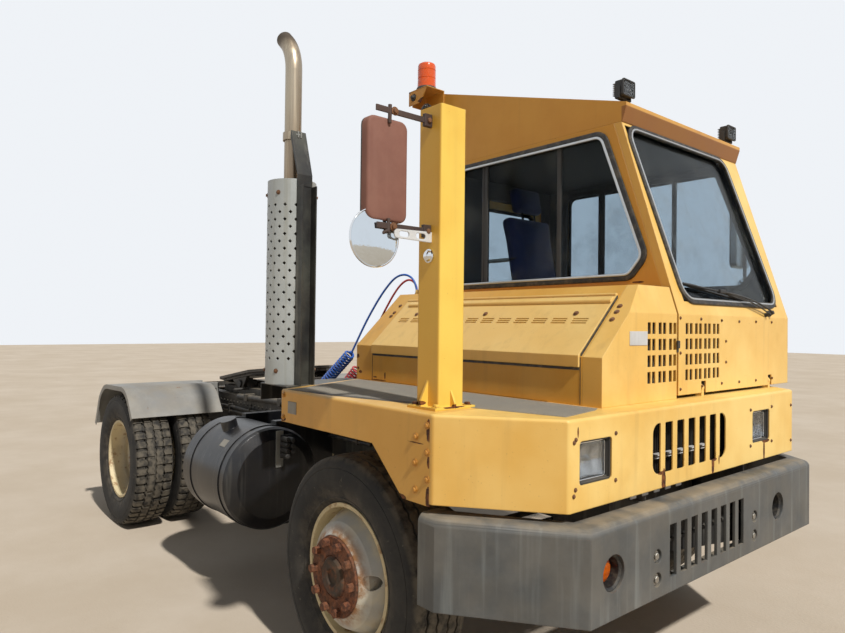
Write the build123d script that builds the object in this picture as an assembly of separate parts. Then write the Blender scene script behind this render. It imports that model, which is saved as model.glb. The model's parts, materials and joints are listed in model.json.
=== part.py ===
from build123d import *
import math
import os

os.makedirs("parts", exist_ok=True)

# Driving dimensions in mm: x forward from the front axle, y to the left, z up from the ground

# Wheels
wheelbase = 3090
tyre_r = 505
tyre_width = 285
tyre_tread_width = 236
rim_seat_r = 286
rim_flange_r = 298
rim_flange_width = 226
rim_wall = 12
flange_lip = 8
front_track_y = 1018
rear_outer_y = 1072
rear_inner_y = 742
wheel_inset = 165
disc_thickness = 14
stud_circle_r = 143
mount_face_r = 172
hub_bore_r = 105
hand_hole_r = 30
hand_hole_count = 2
hand_hole_circle_r = 212
stud_count = 10
nut_r = 19
nut_height = 26
front_hub_r = 80
rear_hub_r = 112
spindle_r = 36
rear_spindle_r = 42
running_gap = 0.3

# Frame rails
rail_outer_y = 430
rail_flange = 80
rail_web = 8
rail_bottom_z = 750
rail_top_z = 1000
rail_front_x = 1000
rail_rear_x = -3888
tail_x = -3896
member_x = [-1480, -2850, -3500]
member_length = 90
member_height = 110
tail_height = 210

# Front bumper
bumper_front_x = 1108
bumper_corner_y = 928
bumper_side_y = 1235
bumper_side_x = 686
bumper_end_x = 600
bumper_bottom_z = 597
bumper_top_z = 919
bumper_plate = 12
bumper_edge_r = 32
bumper_lip = 95
bumper_slot_count = 8
bumper_slot_first_y = -412
bumper_slot_pitch = 81
bumper_slot_width = 50
bumper_slot_bottom_z = 652
bumper_slot_top_z = 847
signal_y = [-800, 540]
signal_z = 752
signal_hole_r = 63
signal_lamp_r = 56
signal_depth = 60
bracket_plate = 12

# Yellow band with the headlamps
band_front_x = 1024
band_corner_y = 936
band_side_x = 655
band_end_x = 640
band_side_y = 1220
band_bottom_z = 954
band_plate = 6
band_slot_count = 7
band_slot_first_y = -387
band_slot_pitch = 91.5
band_slot_width = 57
band_slot_bottom_z = 1012
band_slot_top_z = 1208
band_slot_r = 6
band_grille_r = 42
band_bend_r = 20
band_top_r = 12
headlamp_y = [-785, 558]
headlamp_width = 190
headlamp_height = 150
headlamp_z = 1115
headlamp_corner_r = 14
headlamp_frame = 14
headlamp_depth = 70

# Decks and skirts
deck_top_z = 1268
deck_plate = 6
skirt_rear_x = -425
skirt_bottom_z = 1118
arch_top_x = 301
arch_foot_x = 492
skirt_foot_z = 944
deck_rear_inner_x = -725
deck_lip = 50
left_deck_inner_y = 520
deck_beam_x = [-230, 560]
deck_beam_width = 70
deck_beam_height = 80
outrigger_plate = 14
outrigger_foot = 180

# Cradle across the frame
cradle_x = -720
cradle_length = 70
cradle_pad_y = [250, 1000]

# Hood
hood_rear_x = -737
cab_front_x = 902
hood_side_y = -576
hood_shoulder_z = 1461
hood_ledge_y = -264
hood_ledge_z = 1760
hood_inner_y = -14
hood_sheet = 6
crease_z = 1640
lean = 17.8
lid_rear_x = -580
lid_front_x = 800
lid_bottom_z = 1420
lid_top_y = -318
lid_raise = 14
lid_sheet = 5
lid_hinge_r = 9
louvre_count = 12
louvre_pitch = 107
louvre_first_x = -478
louvre_length = 78
louvre_slots = 3
louvre_slot_height = 6
louvre_slot_pitch = 13

# Cab
cab_left_y = 1197
cab_right_y = 0
cab_wall = 40
cab_floor_z = 1282
cab_rear_x = -780
header_z = 2600
windshield_bottom_z = 1700
windshield_top_z = 2545
windshield_sides_y = [81, 1099, 1025, 18]
side_window_bottom_z = 1810
side_window_top_z = 2520
side_window_rear_x = -600
side_window_front_x = 506
side_window_knee = (737, 1909)
side_window_toe = (659, 1815)
glass_thickness = 6
grille_slot_height = 48
grille_slot_pitch_z = 69
grille_rows = 4
grille_top_z = 1601
grille_slot_width = 24
hood_grille_y = [-240, -204, -154, -118, -68, -32]
cab_grille_y = [74, 112, 160, 198, 246, 284, 332, 370]
cab_pivot_z = 1304
cab_pivot_inset = 20
cab_pivot_y = [230, 960]
pivot_pin_r = 12
pivot_lug_width = 24
pivot_lug_r = 18
pivot_notch_depth = 62
pivot_notch_rise = 32
pivot_notch_width = 44
roof_front_x = 632
roof_front_z = 2650
roof_break_x = -653
roof_break_z = 3020
roof_rear_x = -826
roof_rear_z = 3052
roof_sheet = 16
roof_eave_z = 2600
roof_left_y = 1160
door_left_y = 1090
door_right_y = 470
door_bottom_z = 1340
door_top_z = 2440
door_thickness = 30
door_travel = 430
door_overlap = 25
track_height = 12
door_window_margin = 70
door_window_bottom_z = 1790

# Seat, dash and steering wheel
seat_front_x = 120
seat_length = 500
seat_y = 620
seat_width = 500
seat_base_width = 370
seat_base_length = 370
seat_base_inset = 50
seat_base_height = 300
cushion_height = 140
cushion_r = 40
seat_back_width = 460
seat_back_height = 622
seat_back_thickness = 110
seat_back_overlap = 60
seat_lean = 11.1
head_rest_width = 280
head_rest_height = 192
head_rest_thickness = 70
dash_top_z = 1690
dash_depth = 142
dash_shelf_x = 580
dash_shelf_height = 100
dash_slope_z = 1500
dash_glare_drop = 60
wheel_centre = (352, 1766)
wheel_tilt = (-280, 200)
wheel_r = 215
wheel_rim_r = 14
wheel_spoke = (26, 12)
wheel_boss = (50, 34)
column_r = 26
column_foot_x = 640
column_foot_z = 1560

# Lamps and beacon on the roof
work_lamp_x = 585
work_lamp_y = [56, 1140]
work_lamp_width = 104
work_lamp_height = 78
work_lamp_depth = 68
work_lamp_ear = 6
work_lamp_rise = 24
work_lamp_edge_r = 8
beacon_x = -740
beacon_y = -72
beacon_z = roof_break_z + 20
beacon_base_r = 66
beacon_base_height = 22
beacon_r = 58
beacon_height = 154
beacon_bands = 3
beacon_groove = 3
beacon_top_r = 20
beacon_shelf = 144
beacon_bracket_drop = 90
beacon_bracket_plate = 6
beacon_hole_r = 24

# Mirrors
post_x = 450
post_side = 127
post_y = -1124
post_top_z = 2400
post_wall = 6
foot_plate = 10
foot_x = 440
foot_length = 160
foot_y = -1160
foot_width = 203
mirror_x = 520
flat_mirror_y = -1320
flat_mirror_width = 180
flat_mirror_bottom_z = 1946
flat_mirror_top_z = 2316
flat_mirror_depth = 45
round_mirror_y = -1367
round_mirror_z = 1885
round_mirror_r = 106
round_mirror_depth = 36
round_mirror_rim = 8
round_mirror_dome = 14
mirror_back_r = 8
flat_mirror_corner_r = 32
mirror_arm_r = 9
left_mirror_x = 650
left_mirror_drop = 196
left_mirror_rise = 54
left_round_mirror_z = 1780
mirror_bar_end = 20
mirror_stem_drop = 31

# Exhaust
stack_x = -930
stack_y = -900
shield_r = 135
shield_wall = 3
shield_bottom_z = 1245
shield_top_z = 2370
muffler_r = 112
pipe_r = 47
pipe_wall = 3
pipe_straight_z = 3010
pipe_bend_r = 250
pipe_bend_angle = 48
pipe_outlet_length = 40
clamp_z = 2630
channel_width = 90
channel_depth = 60

# Tanks
tank_front_x = -1106
tank_length = 670
tank_r = 298
tank_y = -892
tank_z = 671
tank_end_bulge = 26
strap_width = 60
strap_thickness = 5
strap_inset = 130
air_tank_r = 100
air_tank_y = -790
air_tank_z = 1100
air_tank_front_x = -285
air_tank_length = 420
air_tank_dome = 50
air_tank_hanger_x = [150, 360]
air_tank_hanger = (40, 60)
battery_box_rear_x = -1420
battery_box_length = 640
battery_box_inner_y = 640
battery_box_outer_y = 1190
battery_box_bottom_z = 480
battery_box_top_z = 900
battery_box_edge_r = 12
battery_bracket_width = 50
battery_bracket_inset = 65
step_height = 30
step_depth = 30
step_inset = 60
step_rise = 60
step_drop = 70

# Platform behind the cab
platform_rear_gap = 60
platform_front_gap = 90
platform_inner_y = 30
platform_outer_y = 1150
platform_z = 1150
platform_thickness = 30
platform_leg = 60
platform_strut = 40
handrail_r = 16
handrail_height = 950
midrail_r = 14
midrail_height = 480

# Rear fenders, bent from flat plate: bends as distance ahead of the axle and above it, in tyre radii
fender_outer_y = 1220
fender_inner_y = 523
fender_shape = [(-1.149, 0.426), (-0.931, 0.901), (-0.653, 1.111), (0.495, 1.139), (0.812, 0.715)]
fender_bends = [(tyre_r * ahead - wheelbase, tyre_r * (1 + above)) for ahead, above in fender_shape]
fender_roll = tyre_r * 0.5
fender_plate = 5
fender_lip = 35
fender_post_ahead = [-290, 60]
fender_post = 50
fender_post_height = 46
fender_post_inset = 60
fender_post_plate = 20
fender_post_foot = 160

# Axles
axle_tube_r = 62
diff_r = 195
beam_height = 90
beam_width = 80
beam_drop = 70
kingpin_y = 860
kingpin_r = 24
knuckle_boss_r = 40
steering_arm_back = 210
steering_arm_z = -75
tie_rod_r = 17
spring_length = 1180
spring_width = 75
spring_height = 60
spring_y = 390
brake_drum_r = 208
brake_drum_wall = 14
front_drum_width = 150
rear_drum_width = 190
brake_can_r = 62
brake_can_y = 515
brake_can_rise = 75
brake_can_length = 200
brake_can_gap = 90
brake_clamp_r = 67
brake_clamp_width = 16

# Powertrain
engine_front_x = 540
engine_length = 1080
engine_half_width = 335
engine_bottom_z = 690
engine_top_z = 1225
head_length = 760
head_y = -420
head_width = 330
head_top_z = 1400
head_sink = 40
sump_chamfer = 110
engine_foot_length = 140
gearbox_front_z = 860
gearbox_rear_z = 820
gearbox_length = 620
gearbox_r = 190
shaft_r = 45
radiator_x = 700
radiator_depth = 90
radiator_bottom_z = 790
radiator_top_z = 1240

# Lifting boom and fifth wheel
boom_pivot_x = -1720
boom_pivot_z = 1062
boom_arm_y = 355
boom_arm_width = 60
boom_arm_height = 60
boom_rear_x = -2960
boom_pin_r = 30
boom_clear = 6
plate_pivot_x = -2600
plate_pivot_z = 1092
plate_tilt = 9.4
plate_width = 900
plate_length = 900
plate_thickness = 22
plate_rise = 88
kingpin_hole_r = 25.8
throat_mouth = 330
ramp_length = 210
cylinder_y = 215
cylinder_base = (-1950, 705)
cylinder_eye = (-2600, 1000)
barrel_r = 50
rod_r = 27
barrel_length = 520
eye_pin_r = 18
base_pin_r = 20
eye_bore_r = 29.5
eye_r = 42

# Tail lamps on plates beside the frame's end
tail_lamp_y = [500, 605]
tail_lamp_z = 905
tail_lamp_r = 52
tail_lamp_depth = 30
tail_plate_width = 230
tail_plate_height = 150
tail_plate_thickness = 6

# Air lines
hose_r = 6.5
fitting_r = 12
coupling_x = -1400
coupling_length = 95
coil_r = 38
blue_points = [(-640, -215, 1782), (-646, -220, 1826), (-674, -232, 1868), (-722, -250, 1886),
               (-785, -268, 1868), (-850, -285, 1806), (-905, -300, 1738), (-955, -312, 1668),
               (-1003, -324, 1596), (-1046, -334, 1524), (-1086, -343, 1456), (-1120, -350, 1400)]
red_points = [(-690, -170, 1782), (-696, -172, 1818), (-722, -178, 1850), (-767, -188, 1858),
              (-822, -199, 1826), (-878, -210, 1762), (-930, -219, 1690), (-980, -228, 1614),
              (-1028, -237, 1534), (-1074, -246, 1452), (-1120, -254, 1372), (-1164, -261, 1300)]
blue_coil_end = (coupling_x, -400, 1160)
red_coil_end = (coupling_x, -296, 1070)

# The part's own origin lies under the middle of its length
shift_x = -(bumper_front_x + tail_x) / 2


# Shared shapes

def block(x0, x1, y0, y1, z0, z1):
    size = Box(x1 - x0, y1 - y0, z1 - z0)
    return Pos((x0 + x1) / 2, (y0 + y1) / 2, (z0 + z1) / 2) * size


def side_slab(points, y0, y1):
    """Extrude an outline of (x, z) points from y0 to y1."""
    outline = Polyline(*[(x, y0, z) for x, z in points], close=True)
    return extrude(make_face(outline), amount=y1 - y0, dir=(0, 1, 0))


def plan_slab(points, z0, z1):
    """Extrude an outline of (x, y) points from z0 to z1."""
    outline = Polyline(*[(x, y, z0) for x, y in points], close=True)
    return extrude(make_face(outline), amount=z1 - z0, dir=(0, 0, 1))


def front_slab(points, x0, x1):
    """Extrude an outline of (y, z) points from x0 to x1."""
    outline = Polyline(*[(x0, y, z) for y, z in points], close=True)
    return extrude(make_face(outline), amount=x1 - x0, dir=(1, 0, 0))


def rod(start, end, radius):
    start = Vector(*start)
    end = Vector(*end)
    plane = Plane(origin=start, z_dir=end - start)
    return plane * Cylinder(radius, (end - start).length, align=(Align.CENTER, Align.CENTER, Align.MIN))


def turned(points, centre):
    """Revolve an outline of (y, r) points about the y axis line through centre."""
    outline = make_face(Polyline(*[(r, y, 0) for y, r in points], close=True))
    return Pos(*centre) * revolve(outline, axis=Axis.Y)


def mirrored(shape):
    return mirror(shape, about=Plane.XZ)


def pair(shape):
    """The shape and its mirror image on the other side of the truck."""
    return group(shape, mirrored(shape))


def group(*shapes):
    return Compound([solid for shape in shapes for solid in shape.solids()])


def joined(shapes):
    total = shapes[0]
    for shape in shapes[1:]:
        total += shape
    return total


def route(points):
    """Straight runs joined by tangent arcs as large as the runs allow."""
    places = [Vector(*p) for p in points]
    radii = []
    for before, here, after in zip(places, places[1:], places[2:]):
        turn = (here - before).get_angle(after - here)
        run = min((here - before).length, (after - here).length)
        radii.append(0.45 * run / math.tan(math.radians(turn / 2)))
    print("arc radii", [round(r) for r in radii])
    return FilletPolyline(*places, radius=radii)


def hose(points):
    path = route(points)
    section = Plane(origin=path @ 0, z_dir=path % 0) * Circle(hose_r)
    tube = sweep(section, path=path)
    print("hose volume ratio", round(tube.volume / (math.pi * hose_r ** 2 * path.length), 4))
    return tube


def lean_x(z):
    """Front face of hood and cab at height z: upright to the crease, then leaning back."""
    return cab_front_x - max(0, z - crease_z) * math.tan(math.radians(lean))


def save(name, shape):
    placed = group(Pos(shift_x, 0, 0) * shape)
    solids = placed.solids()
    export_step(solids[0] if len(solids) == 1 else placed, f"parts/{name}.step")


# Frame

def frame_rails():
    outer = block(rail_rear_x, rail_front_x, -rail_outer_y, -rail_outer_y + rail_flange, rail_bottom_z, rail_top_z)
    inside = block(rail_rear_x, rail_front_x, -rail_outer_y + rail_web, -rail_outer_y + rail_flange,
                   rail_bottom_z + rail_web, rail_top_z - rail_web)
    return pair(outer - inside)


def crossmembers():
    half = rail_outer_y - rail_web
    high = rail_top_z - rail_web
    low = high - member_height
    members = []
    for x in member_x:
        member = block(x, x + member_length, -half, half, low, high)
        member -= block(x + rail_web, x + member_length, -half, half, low + rail_web, high - rail_web)
        members.append(member)
    plate = block(tail_x, rail_rear_x, -rail_outer_y, rail_outer_y, rail_top_z - tail_height, rail_top_z)
    return group(*members, plate)


def band_outline(front, corner_y, side_x, side_y, end_x, inset):
    """Plan of a band with cut corners, moved in by inset along every face."""
    slope = math.atan2(front - side_x, side_y - corner_y)
    shift = inset * math.tan((math.pi / 2 - slope) / 2)
    cut = inset * math.tan(slope / 2)
    return [(end_x, -side_y + inset), (side_x - cut, -side_y + inset), (front - inset, -corner_y + shift),
            (front - inset, corner_y - shift), (side_x - cut, side_y - inset), (end_x, side_y - inset)]


def front_bumper():
    args = (bumper_front_x, bumper_corner_y, bumper_side_x, bumper_side_y, bumper_end_x)
    skin = plan_slab(band_outline(*args, 0), bumper_bottom_z, bumper_top_z)
    top_front = [e for e in skin.edges() if abs(e.center().Z - bumper_top_z) < 1 and e.center().X > bumper_end_x + 1]
    skin = fillet(top_front, bumper_edge_r)
    skin -= plan_slab(band_outline(*args, bumper_plate), bumper_bottom_z + bumper_plate, bumper_top_z - bumper_plate)
    skin -= plan_slab(band_outline(*args, bumper_lip), bumper_bottom_z, bumper_top_z)
    for i in range(bumper_slot_count):
        y = bumper_slot_first_y + i * bumper_slot_pitch
        skin -= block(bumper_front_x - bumper_lip, bumper_front_x, y - bumper_slot_width / 2,
                      y + bumper_slot_width / 2, bumper_slot_bottom_z, bumper_slot_top_z)
    for y in signal_y:
        skin -= rod((bumper_front_x - bumper_lip / 2, y, signal_z), (bumper_front_x + 1, y, signal_z), signal_hole_r)
    lug = block(rail_front_x - 150, bumper_front_x - bumper_plate, rail_outer_y, rail_outer_y + bracket_plate,
                rail_bottom_z + rail_web, bumper_top_z - bumper_plate)
    return skin + lug + mirrored(lug)


def upright_bends(slab, end_x):
    return [e for e in slab.edges().filter_by(Axis.Z) if e.center().X > end_x + 1]


def band_grille():
    """Row of upright slots whose two ends are rounded off by one field."""
    back = band_front_x - 2 * band_plate
    last_y = band_slot_first_y + (band_slot_count - 1) * band_slot_pitch
    field = block(back, band_front_x, band_slot_first_y - band_slot_width / 2, last_y + band_slot_width / 2,
                  band_slot_bottom_z, band_slot_top_z)
    field = fillet(field.edges().filter_by(Axis.X), band_grille_r)
    slots = []
    for i in range(band_slot_count):
        y = band_slot_first_y + i * band_slot_pitch
        slot = block(back, band_front_x, y - band_slot_width / 2, y + band_slot_width / 2, band_slot_bottom_z,
                     band_slot_top_z)
        slots.append(fillet(slot.edges().filter_by(Axis.X), band_slot_r) & field)
    return group(*slots)


def front_fascia():
    args = (band_front_x, band_corner_y, band_side_x, band_side_y, band_end_x)
    skin = plan_slab(band_outline(*args, 0), band_bottom_z, deck_top_z)
    skin = fillet(upright_bends(skin, band_end_x), band_bend_r)
    top = [e for e in skin.edges() if abs(e.center().Z - deck_top_z) < 1 and e.center().X > band_end_x + 1]
    skin = fillet(top, band_top_r)
    inside = plan_slab(band_outline(*args, band_plate), band_bottom_z, deck_top_z - deck_plate)
    skin -= fillet(upright_bends(inside, band_end_x), band_bend_r - band_plate)
    skin -= band_grille()
    for y in headlamp_y:
        hole = block(band_front_x - 2 * band_plate, band_front_x, y - headlamp_width / 2, y + headlamp_width / 2,
                     headlamp_z - headlamp_height / 2, headlamp_z + headlamp_height / 2)
        skin -= fillet(hole.edges().filter_by(Axis.X), headlamp_corner_r)
    for side in (-1, 1):
        y = side * (rail_outer_y + bracket_plate / 2)
        skin += block(rail_front_x - 150, band_front_x - band_plate, y - bracket_plate / 2, y + bracket_plate / 2,
                      band_bottom_z, deck_top_z - deck_plate)
    return skin


def front_lamps():
    lamps = []
    back = band_front_x - band_plate
    for y in headlamp_y:
        half_y = headlamp_width / 2 - 6
        half_z = headlamp_height / 2 - 6
        body = block(back - headlamp_depth, back, y - half_y, y + half_y, headlamp_z - half_z, headlamp_z + half_z)
        body += block(back - headlamp_frame, back, y - half_y - 16, y + half_y + 16,
                      headlamp_z - half_z - 16, headlamp_z + half_z + 16)
        lamps.append(body)
    inner = bumper_front_x - bumper_plate
    for y in signal_y:
        lamp = rod((inner - signal_depth, y, signal_z), (inner + 4, y, signal_z), signal_lamp_r)
        lamp += rod((inner - 8, y, signal_z), (inner, y, signal_z), signal_hole_r + 14)
        lamps.append(lamp)
    return group(*lamps)


def tail_lamps():
    """Two round lamps a side, on a plate that is fixed to the outside of the frame rail."""
    x = tail_x + tail_lamp_depth + 2
    plate = block(x, x + tail_plate_thickness, rail_outer_y, rail_outer_y + tail_plate_width,
                  tail_lamp_z - tail_plate_height / 2, tail_lamp_z + tail_plate_height / 2)
    for y in tail_lamp_y:
        lamp = rod((x - tail_lamp_depth, y, tail_lamp_z), (x, y, tail_lamp_z), tail_lamp_r)
        plate += fillet(lamp.edges().group_by(Axis.X)[0], tail_lamp_depth / 4)
    return pair(plate)


# Decks

def skirt_outline():
    return [(skirt_rear_x, deck_top_z), (band_end_x, deck_top_z), (band_end_x, skirt_foot_z),
            (arch_foot_x, skirt_foot_z), (arch_top_x, skirt_bottom_z), (skirt_rear_x, skirt_bottom_z)]


def skirt_top(deck, y):
    """The long top edge where deck and skirt are one bent sheet."""
    return [e for e in deck.edges().filter_by(Axis.X)
            if abs(e.center().Y - y) < 1 and abs(e.center().Z - deck_top_z) < 1]


def deck_beams(side, inner_y, outer_y):
    """Outriggers on one side, each hung on the frame rail by a plate."""
    beams = []
    for x in deck_beam_x:
        for y0, y1, low in ((inner_y + outrigger_plate, outer_y - deck_plate, deck_top_z - deck_beam_height),
                            (inner_y, inner_y + outrigger_plate, rail_top_z - outrigger_foot)):
            near, far = sorted((side * y0, side * y1))
            beams.append(block(x, x + deck_beam_width, near, far, low, deck_top_z - deck_plate))
    return beams


def right_deck():
    inner = hood_side_y - 4
    plate = plan_slab([(skirt_rear_x, -band_side_y), (band_end_x, -band_side_y), (band_end_x, inner),
                       (deck_rear_inner_x, inner)], deck_top_z - deck_plate, deck_top_z)
    skirt = side_slab(skirt_outline(), -band_side_y, -band_side_y + deck_plate)
    run_x = deck_rear_inner_x - skirt_rear_x
    run_y = inner + band_side_y
    length = math.hypot(run_x, run_y)
    back = (deck_plate * run_y / length, -deck_plate * run_x / length)
    lip = plan_slab([(skirt_rear_x, -band_side_y), (deck_rear_inner_x, inner),
                     (deck_rear_inner_x + back[0] * 1.4, inner), (skirt_rear_x + back[0] * 1.4, -band_side_y)],
                    deck_top_z - deck_lip, deck_top_z)
    deck = joined([plate, skirt, lip] + deck_beams(-1, rail_outer_y, band_side_y))
    return fillet(skirt_top(deck, -band_side_y), band_top_r)


def left_deck():
    plate = block(skirt_rear_x, band_end_x, left_deck_inner_y, band_side_y, deck_top_z - deck_plate, deck_top_z)
    skirt = side_slab(skirt_outline(), band_side_y - deck_plate, band_side_y)
    deck = joined([plate, skirt] + deck_beams(1, rail_outer_y, band_side_y))
    return fillet(skirt_top(deck, band_side_y), band_top_r)


# Hood

def slope_dir():
    run = hood_ledge_y - hood_side_y
    rise = hood_ledge_z - hood_shoulder_z
    length = math.hypot(run, rise)
    return run / length, rise / length


def slope_z(y):
    run, rise = slope_dir()
    return hood_shoulder_z + (y - hood_side_y) * rise / run


def hood_section(inset):
    """Hood outline across the truck, open to the deck, moved in by inset."""
    run, rise = slope_dir()
    side = hood_side_y + inset
    top = hood_ledge_z - inset
    half_low = math.tan(math.atan2(run, rise) / 2)
    half_high = math.tan(math.atan2(rise, run) / 2)
    return [(side, deck_top_z), (side, hood_shoulder_z - inset * half_low),
            (hood_ledge_y + inset * half_high, top), (hood_inner_y - inset, top), (hood_inner_y - inset, deck_top_z)]


def lean_cut(back):
    """Everything ahead of the leaning front face, moved back by a distance."""
    foot = cab_front_x - back
    high = hood_ledge_z + 1500
    return side_slab([(foot, crease_z), (foot + 2000, crease_z), (foot + 2000, high),
                      (lean_x(high) - back, high)], hood_side_y - 200, cab_left_y + 200)


def grille_cut(columns, x0, x1):
    cuts = []
    for y in columns:
        for row in range(grille_rows):
            top = grille_top_z - row * grille_slot_pitch_z
            cuts.append(block(x0, x1, y - grille_slot_width / 2, y + grille_slot_width / 2,
                              top - grille_slot_height, top))
    return group(*cuts)


def hood_front():
    panel = front_slab(hood_section(0), cab_front_x - 90, cab_front_x) - lean_cut(0)
    panel -= front_slab(hood_section(hood_sheet), cab_front_x - 90, cab_front_x - hood_sheet) - lean_cut(hood_sheet)
    return panel - grille_cut(hood_grille_y, cab_front_x - 2 * hood_sheet, cab_front_x)


def lid_opening():
    run, rise = slope_dir()
    drop = 60
    low = lid_bottom_z + lid_raise
    top = slope_z(lid_top_y)
    points = [(hood_side_y - 40, low), (hood_side_y + drop, low), (lid_top_y + drop * rise, top - drop * run),
              (lid_top_y - drop * rise, top + drop * run), (hood_side_y - 40, hood_shoulder_z)]
    return front_slab(points, lid_rear_x + 25, lid_front_x - 25)


def hood_frame():
    front = cab_front_x - 90
    shell = front_slab(hood_section(0), hood_rear_x, front)
    shell -= front_slab(hood_section(hood_sheet), hood_rear_x + hood_sheet, front)
    shell -= lid_opening()
    return shell


def hood_lid():
    """Bent lid that lies over the opening, hung from its top edge."""
    run, rise = slope_dir()
    out_y = -rise
    out_z = run
    near = 2
    far = near + lid_sheet + 6

    def line(offset):
        side = hood_side_y - offset
        half_low = math.tan(math.atan2(run, rise) / 2)
        top_y = lid_top_y + out_y * offset
        top_z = slope_z(lid_top_y) + out_z * offset
        return [(side, lid_bottom_z), (side, hood_shoulder_z + offset * half_low), (top_y, top_z)]

    outer = line(far)
    inner = line(near)
    lid = front_slab(outer + inner[::-1], lid_rear_x, lid_front_x)
    for i in range(louvre_count):
        x = louvre_first_x + i * louvre_pitch
        for k in range(louvre_slots):
            y = -436 + (k - 1) * louvre_slot_pitch * run
            z = slope_z(y)
            slot = Box(louvre_length, louvre_slot_height, 60)
            lid -= Pos(x, y, z) * Rot(X=math.degrees(math.atan2(rise, run))) * slot
    off = lid_hinge_r + running_gap
    hinge = rod((lid_rear_x, lid_top_y + out_y * off, slope_z(lid_top_y) + out_z * off),
                (lid_front_x, lid_top_y + out_y * off, slope_z(lid_top_y) + out_z * off), lid_hinge_r)
    return lid + hinge


# Cab

def cab_profile(inset):
    tilt = math.radians(lean)
    knee = inset * math.tan(tilt / 2)
    top = header_z - inset
    return [(cab_rear_x + inset, cab_floor_z), (cab_front_x - inset, cab_floor_z),
            (cab_front_x - inset, crease_z - knee),
            (lean_x(top) - inset / math.cos(tilt), top), (cab_rear_x + inset, top)]


def windshield_prism():
    y0, y1, y2, y3 = windshield_sides_y
    return front_slab([(y0, windshield_bottom_z), (y1, windshield_bottom_z), (y2, windshield_top_z),
                       (y3, windshield_top_z)], 300, cab_front_x + 50)


def side_window_outline():
    return [(side_window_rear_x, side_window_bottom_z), side_window_toe, side_window_knee,
            (side_window_front_x, side_window_top_z), (side_window_rear_x, side_window_top_z)]


def pivot_notches():
    cuts = []
    for y in cab_pivot_y:
        half = pivot_notch_width / 2
        cuts.append(block(cab_front_x - pivot_notch_depth, cab_front_x, y - half, y + half, cab_floor_z,
                          cab_pivot_z + pivot_notch_rise))
    return group(*cuts)


def cab_front():
    outer = side_slab(cab_profile(0), cab_right_y, cab_left_y)
    inner = side_slab(cab_profile(cab_wall), cab_right_y, cab_left_y)
    keep = side_slab([(lean_x(header_z) - 60, header_z - cab_wall), (cab_front_x - cab_wall, crease_z - 20),
                      (cab_front_x - cab_wall, cab_floor_z), (cab_front_x + 10, cab_floor_z),
                      (cab_front_x + 10, header_z - cab_wall)], cab_right_y, cab_left_y)
    panel = (outer - inner) & keep
    panel -= windshield_prism()
    panel -= pivot_notches()
    for y in cab_pivot_y:
        half = pivot_notch_width / 2
        panel += rod((cab_pivot_x(), y - half, cab_pivot_z), (cab_pivot_x(), y + half, cab_pivot_z), pivot_pin_r)
    return panel - grille_cut(cab_grille_y, cab_front_x - cab_wall, cab_front_x)


def cab_pivot_x():
    return cab_front_x - cab_pivot_inset


def cab_side(y0, y1):
    wall = side_slab(cab_profile(cab_wall), y0, y1)
    wall &= block(cab_rear_x + cab_wall, cab_front_x, y0, y1, cab_floor_z + cab_wall, header_z - cab_wall)
    return wall - side_slab(side_window_outline(), y0, y1)


def cab_sides():
    return group(cab_side(cab_right_y, cab_right_y + cab_wall), cab_side(cab_left_y - cab_wall, cab_left_y))


def cab_rear():
    wall = block(cab_rear_x, cab_rear_x + cab_wall, cab_right_y, cab_left_y, cab_floor_z, header_z - cab_wall)
    wall -= block(cab_rear_x, cab_rear_x + cab_wall, door_right_y, door_left_y, door_bottom_z, door_top_z)
    track_y0 = door_right_y - door_travel - door_overlap
    low = door_bottom_z - door_overlap - running_gap - track_height
    for z in (low, door_top_z + door_overlap + 11):
        wall += block(cab_rear_x - door_thickness - 18, cab_rear_x, track_y0 + 10, cab_left_y - 20, z,
                      z + track_height)
    return wall


def cab_floor():
    floor = block(cab_rear_x + cab_wall, cab_front_x - cab_wall, cab_right_y, cab_left_y, cab_floor_z, cab_floor_z + cab_wall)
    return floor - pivot_notches()


def cab_roof():
    eave = header_z - cab_wall
    outline = [(roof_rear_x, eave), (cab_rear_x, eave), (lean_x(eave) - 30, eave), (roof_front_x - 22, roof_eave_z - 40),
               (roof_front_x, roof_eave_z + 30), (roof_front_x, roof_front_z), (roof_break_x, roof_break_z),
               (roof_rear_x, roof_rear_z)]
    shell = side_slab(outline, cab_right_y, roof_left_y + 37)
    s = roof_sheet
    hollow = [(roof_rear_x + s, eave + s), (lean_x(eave) - 60, eave + s), (roof_front_x - 60, roof_eave_z + 20),
              (roof_front_x - 60, roof_front_z - 4), (roof_break_x, roof_break_z - s), (roof_rear_x + s, roof_rear_z - s)]
    shell -= side_slab(hollow, cab_right_y + s, roof_left_y + 37 - s)
    return shell


def cab_glass():
    tilt = math.radians(lean)
    mid = cab_wall / 2 / math.cos(tilt)
    thick = glass_thickness / math.cos(tilt)
    z0 = crease_z
    z1 = header_z
    pane = side_slab([(lean_x(z0) - mid, z0), (lean_x(z0) - mid + thick, z0), (lean_x(z1) - mid + thick, z1),
                      (lean_x(z1) - mid, z1)], cab_right_y, cab_left_y)
    windshield = pane & windshield_prism()
    mid_y = cab_wall / 2 - glass_thickness / 2
    right = side_slab(side_window_outline(), cab_right_y + mid_y, cab_right_y + mid_y + glass_thickness)
    left = side_slab(side_window_outline(), cab_left_y - mid_y - glass_thickness, cab_left_y - mid_y)
    return group(windshield, right, left)


def leaning_pad(x, z, length, thickness):
    """Outline of a pad that stands on (x, z) and leans back by the seat's angle."""
    tilt = math.radians(seat_lean)
    up = (-math.sin(tilt) * length, math.cos(tilt) * length)
    over = (math.cos(tilt) * thickness, math.sin(tilt) * thickness)
    return [(x, z), (x + over[0], z + over[1]), (x + over[0] + up[0], z + over[1] + up[1]), (x + up[0], z + up[1])]


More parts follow.
